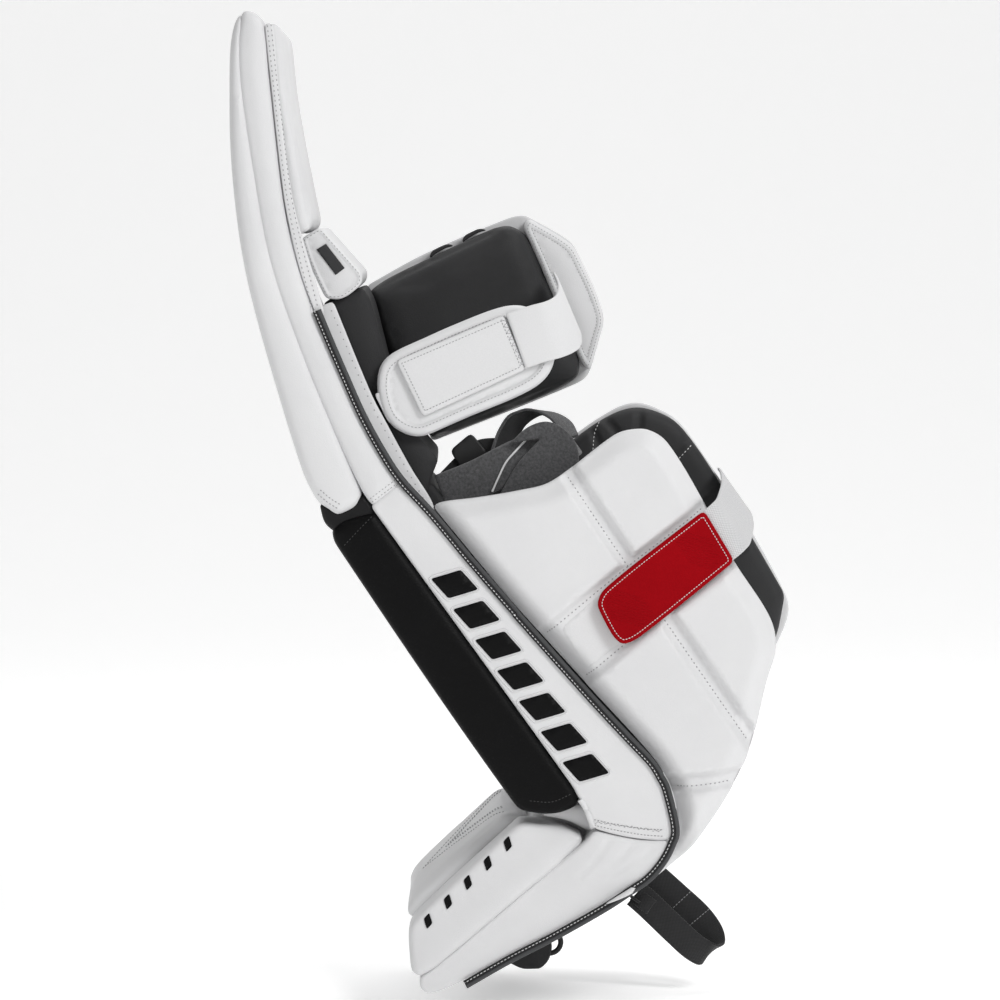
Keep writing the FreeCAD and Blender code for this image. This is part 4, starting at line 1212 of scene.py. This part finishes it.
for row in [
    ("thighFrontThread", sewn(shapes["thigh_front_roll"], frontRows, seamLift), "thigh", (3.2, 1.8, 0.4)),
    ("kneeSeamThread", sewn(shapes["thigh_rear_roll"], kneeRows, seamLift), kneeSkin, (3.0, 1.8, 0.3)),
    ("bindingThread", sewn(shapes["thigh_binding"], bindingRows), "thigh", (4.2, 1.8, 0.42)),
    ("flangeThread", sewn(flange, [flangeRow], 0.05), kneeSkin, (6.5, 1.3, 0.5)),
    ("ankleSeamThread", sewn(sidePanel, seamRows, seamLift), ankleSkin, (2.8, 1.9, 0.4)),
    ("ankleZigzag", sewn(sidePanel, [zigzag((42.5, -187.4), (1.5, -1.42), (1.2, 1.2), 28)], seamLift),
     ankleSkin,
     (2.0, 1.7, 0.3))]:
    stitches(*row)
beads("ankleBead", sewn(sidePanel, [[(43.6, -163), (43.4, -171), (41, -181.5), (38.5, -190)]], -1.2),
      "shin", white,
      3.2, sides=12)
rollRows = [[(6, 133.5), (22, 136.8), (38, 139.6)], [(8, -139), (22, -150), (38, -154)]]
liningRows = [[(226, 62), (236, 73), (246, 79)], [(215, -10), (240, 0), (300, 12)]]
walls = [("rise", "thigh"), ("shin", "shin"), ("boot", "boot")]
for row in [
    ("rollEndThread", sewn(shapes["shin_outer_roll"], rollRows), "shin", (3.0, 2.0, 0.35), "black_leather",
     threadDark),
    ("wrapThread", insideRuns(nearWrap, wrapRuns, 5), nearMoves, (4.0, 1.7, 0.5)),
    ("capThread", edgeRuns(shapes["knee_block_cap"], 3.0, 6.5), "knee_stack", (3.0, 1.8, 0.32)),
    ("wingThread", edgeRuns(wing, 7.0), "knee_wing", (3.2, 2.0, 0.32)),
    ("wedgeThread", edgeRuns(shapes["knee_wedge"], 2.2), "thigh", (3.4, 1.8, 0.3)),
    *[(name + "WallThread", edgeRuns(shapes[body + "_inner_wall"], 8), body, (4.0, 1.9, 0.42))
      for name, body in walls],
    ("farWrapThread", insideRuns(farWrap, [smoothPath(path, sewnStep) for path in farRows], 7), farMoves,
     (4.0, 1.8, 0.45)),
    ("liningThread", sewn(lining, liningRows), "medial_wrap", (3.6, 2.2, 0.4), "liner_fabric",
     threadWhite)]:
    stitches(*row)

# Seams across the front faces: pairs of legs that meet in a point, as (up, depth).
faceSeams = {"thigh_face_panel": (thigh, "thigh", [[(395, -60), (320, 20), (395, 100)],
                                                   [(260, -84), (215, 20), (260, 122)],
                                                   [(140, -84), (95, 20), (140, 122)],
                                                   [(133, -84), (88, 20), (133, 122)]]),
             "shin_face_panel": (shin, "shin", [[(90, -84), (50, 20), (90, 122)],
                                                [(-30, -84), (-70, 20), (-30, 122)],
                                                [(-37, -84), (-77, 20), (-37, 122)]]),
             "boot_face_panel": (boot, "boot", [[(-76, -55), (-168, 14), (-76, 92)],
                                                [(-76, -36), (-140, 14), (-76, 72)],
                                                [(-76, -30), (-132, 14), (-76, 66)]])}
for node, (section, body, seams) in faceSeams.items():
    legs = [onFace(pieceOf[node], section, leg) for seam in seams for leg in zip(seam, seam[1:])]
    stitches(node + "Seams", legs, body, (3.6, 2.2, 0.45))
print("sewing done")

# Floor, light and camera.
low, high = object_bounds()
stage = {"half": 9.0, "drop": 0.02, "rise": 6.0, "bend": 2.5, "behind": 3.0, "glow": 0.3, "world": 0.36}
profile = [(-stage["half"], 0.0), (stage["behind"], 0.0)]
for k in range(1, 13):
    angle = math.radians(90 * k / 12)
    profile.append((stage["behind"] + stage["bend"] * math.sin(angle),
                    stage["bend"] * (1 - math.cos(angle))))
profile.append((stage["behind"] + stage["bend"], stage["rise"]))
level = low.z - stage["drop"]
corners = [(side * stage["half"], y, level + z) for y, z in profile for side in (-1, 1)]
floorMesh = bpy.data.meshes.new("studioFloor")
floorMesh.from_pydata(corners, [], [(k, k + 1, k + 3, k + 2) for k in range(0, len(corners) - 2, 2)])
floorMesh.shade_smooth()
floor = bpy.data.objects.new("studioFloor", floorMesh)
bpy.context.scene.collection.objects.link(floor)
floorMaterial, _, floorShader = newMaterial("paleFloor", (0.97, 0.97, 0.97), 0.85, 0.2)
floorMesh.materials.append(floorMaterial)
floorShader.inputs["Emission Color"].default_value = (1, 1, 1, 1)
floorShader.inputs["Emission Strength"].default_value = stage["glow"]

world = bpy.data.worlds.new("studio")
bpy.context.scene.world = world
world.use_nodes = True
world.node_tree.nodes["Background"].inputs["Color"].default_value = (1, 1, 1, 1)
world.node_tree.nodes["Background"].inputs["Strength"].default_value = stage["world"]


def aimed(name, data, place, aim):
    item = bpy.data.objects.new(name, data)
    bpy.context.scene.collection.objects.link(item)
    item.location = place
    item.rotation_euler = (Vector(aim) - Vector(place)).to_track_quat("-Z", "Y").to_euler()
    return item


for name, place, aim, size, power in (("keyLight", (1.9, -2.6, 2.3), (0, 0, 0.05), (1.2, 1.2), 74),
                                      ("fillLight", (-2.2, -2.8, 0.6), (0, 0, 0), (1.8, 2.2), 8),
                                      ("topLight", (0.3, 0.9, 2.8), (0, 0, 0), (2.2, 2.2), 34)):
    lamp = bpy.data.lights.new(name, "AREA")
    lamp.shape = "RECTANGLE"
    lamp.size, lamp.size_y = size
    lamp.energy = power
    aimed(name, lamp, place, aim)

view = {"distance": 3.8, "lens": 160, "sensor": 36, "offAxis": (-0.0425, 0.2389), "middle": (-0.021,
                                                                                             0.0927),
        "nearSide": -0.140}
camera = bpy.data.cameras.new("camera")
camera.lens = view["lens"]
camera.sensor_width = view["sensor"]
target = Vector((view["middle"][0], view["nearSide"], view["middle"][1]))
stand = target + Vector((view["offAxis"][0], -view["distance"], view["offAxis"][1]))
bpy.context.scene.camera = aimed("camera", camera, stand, target)
bpy.context.scene.view_settings.view_transform = "Standard"
print("stage ready")
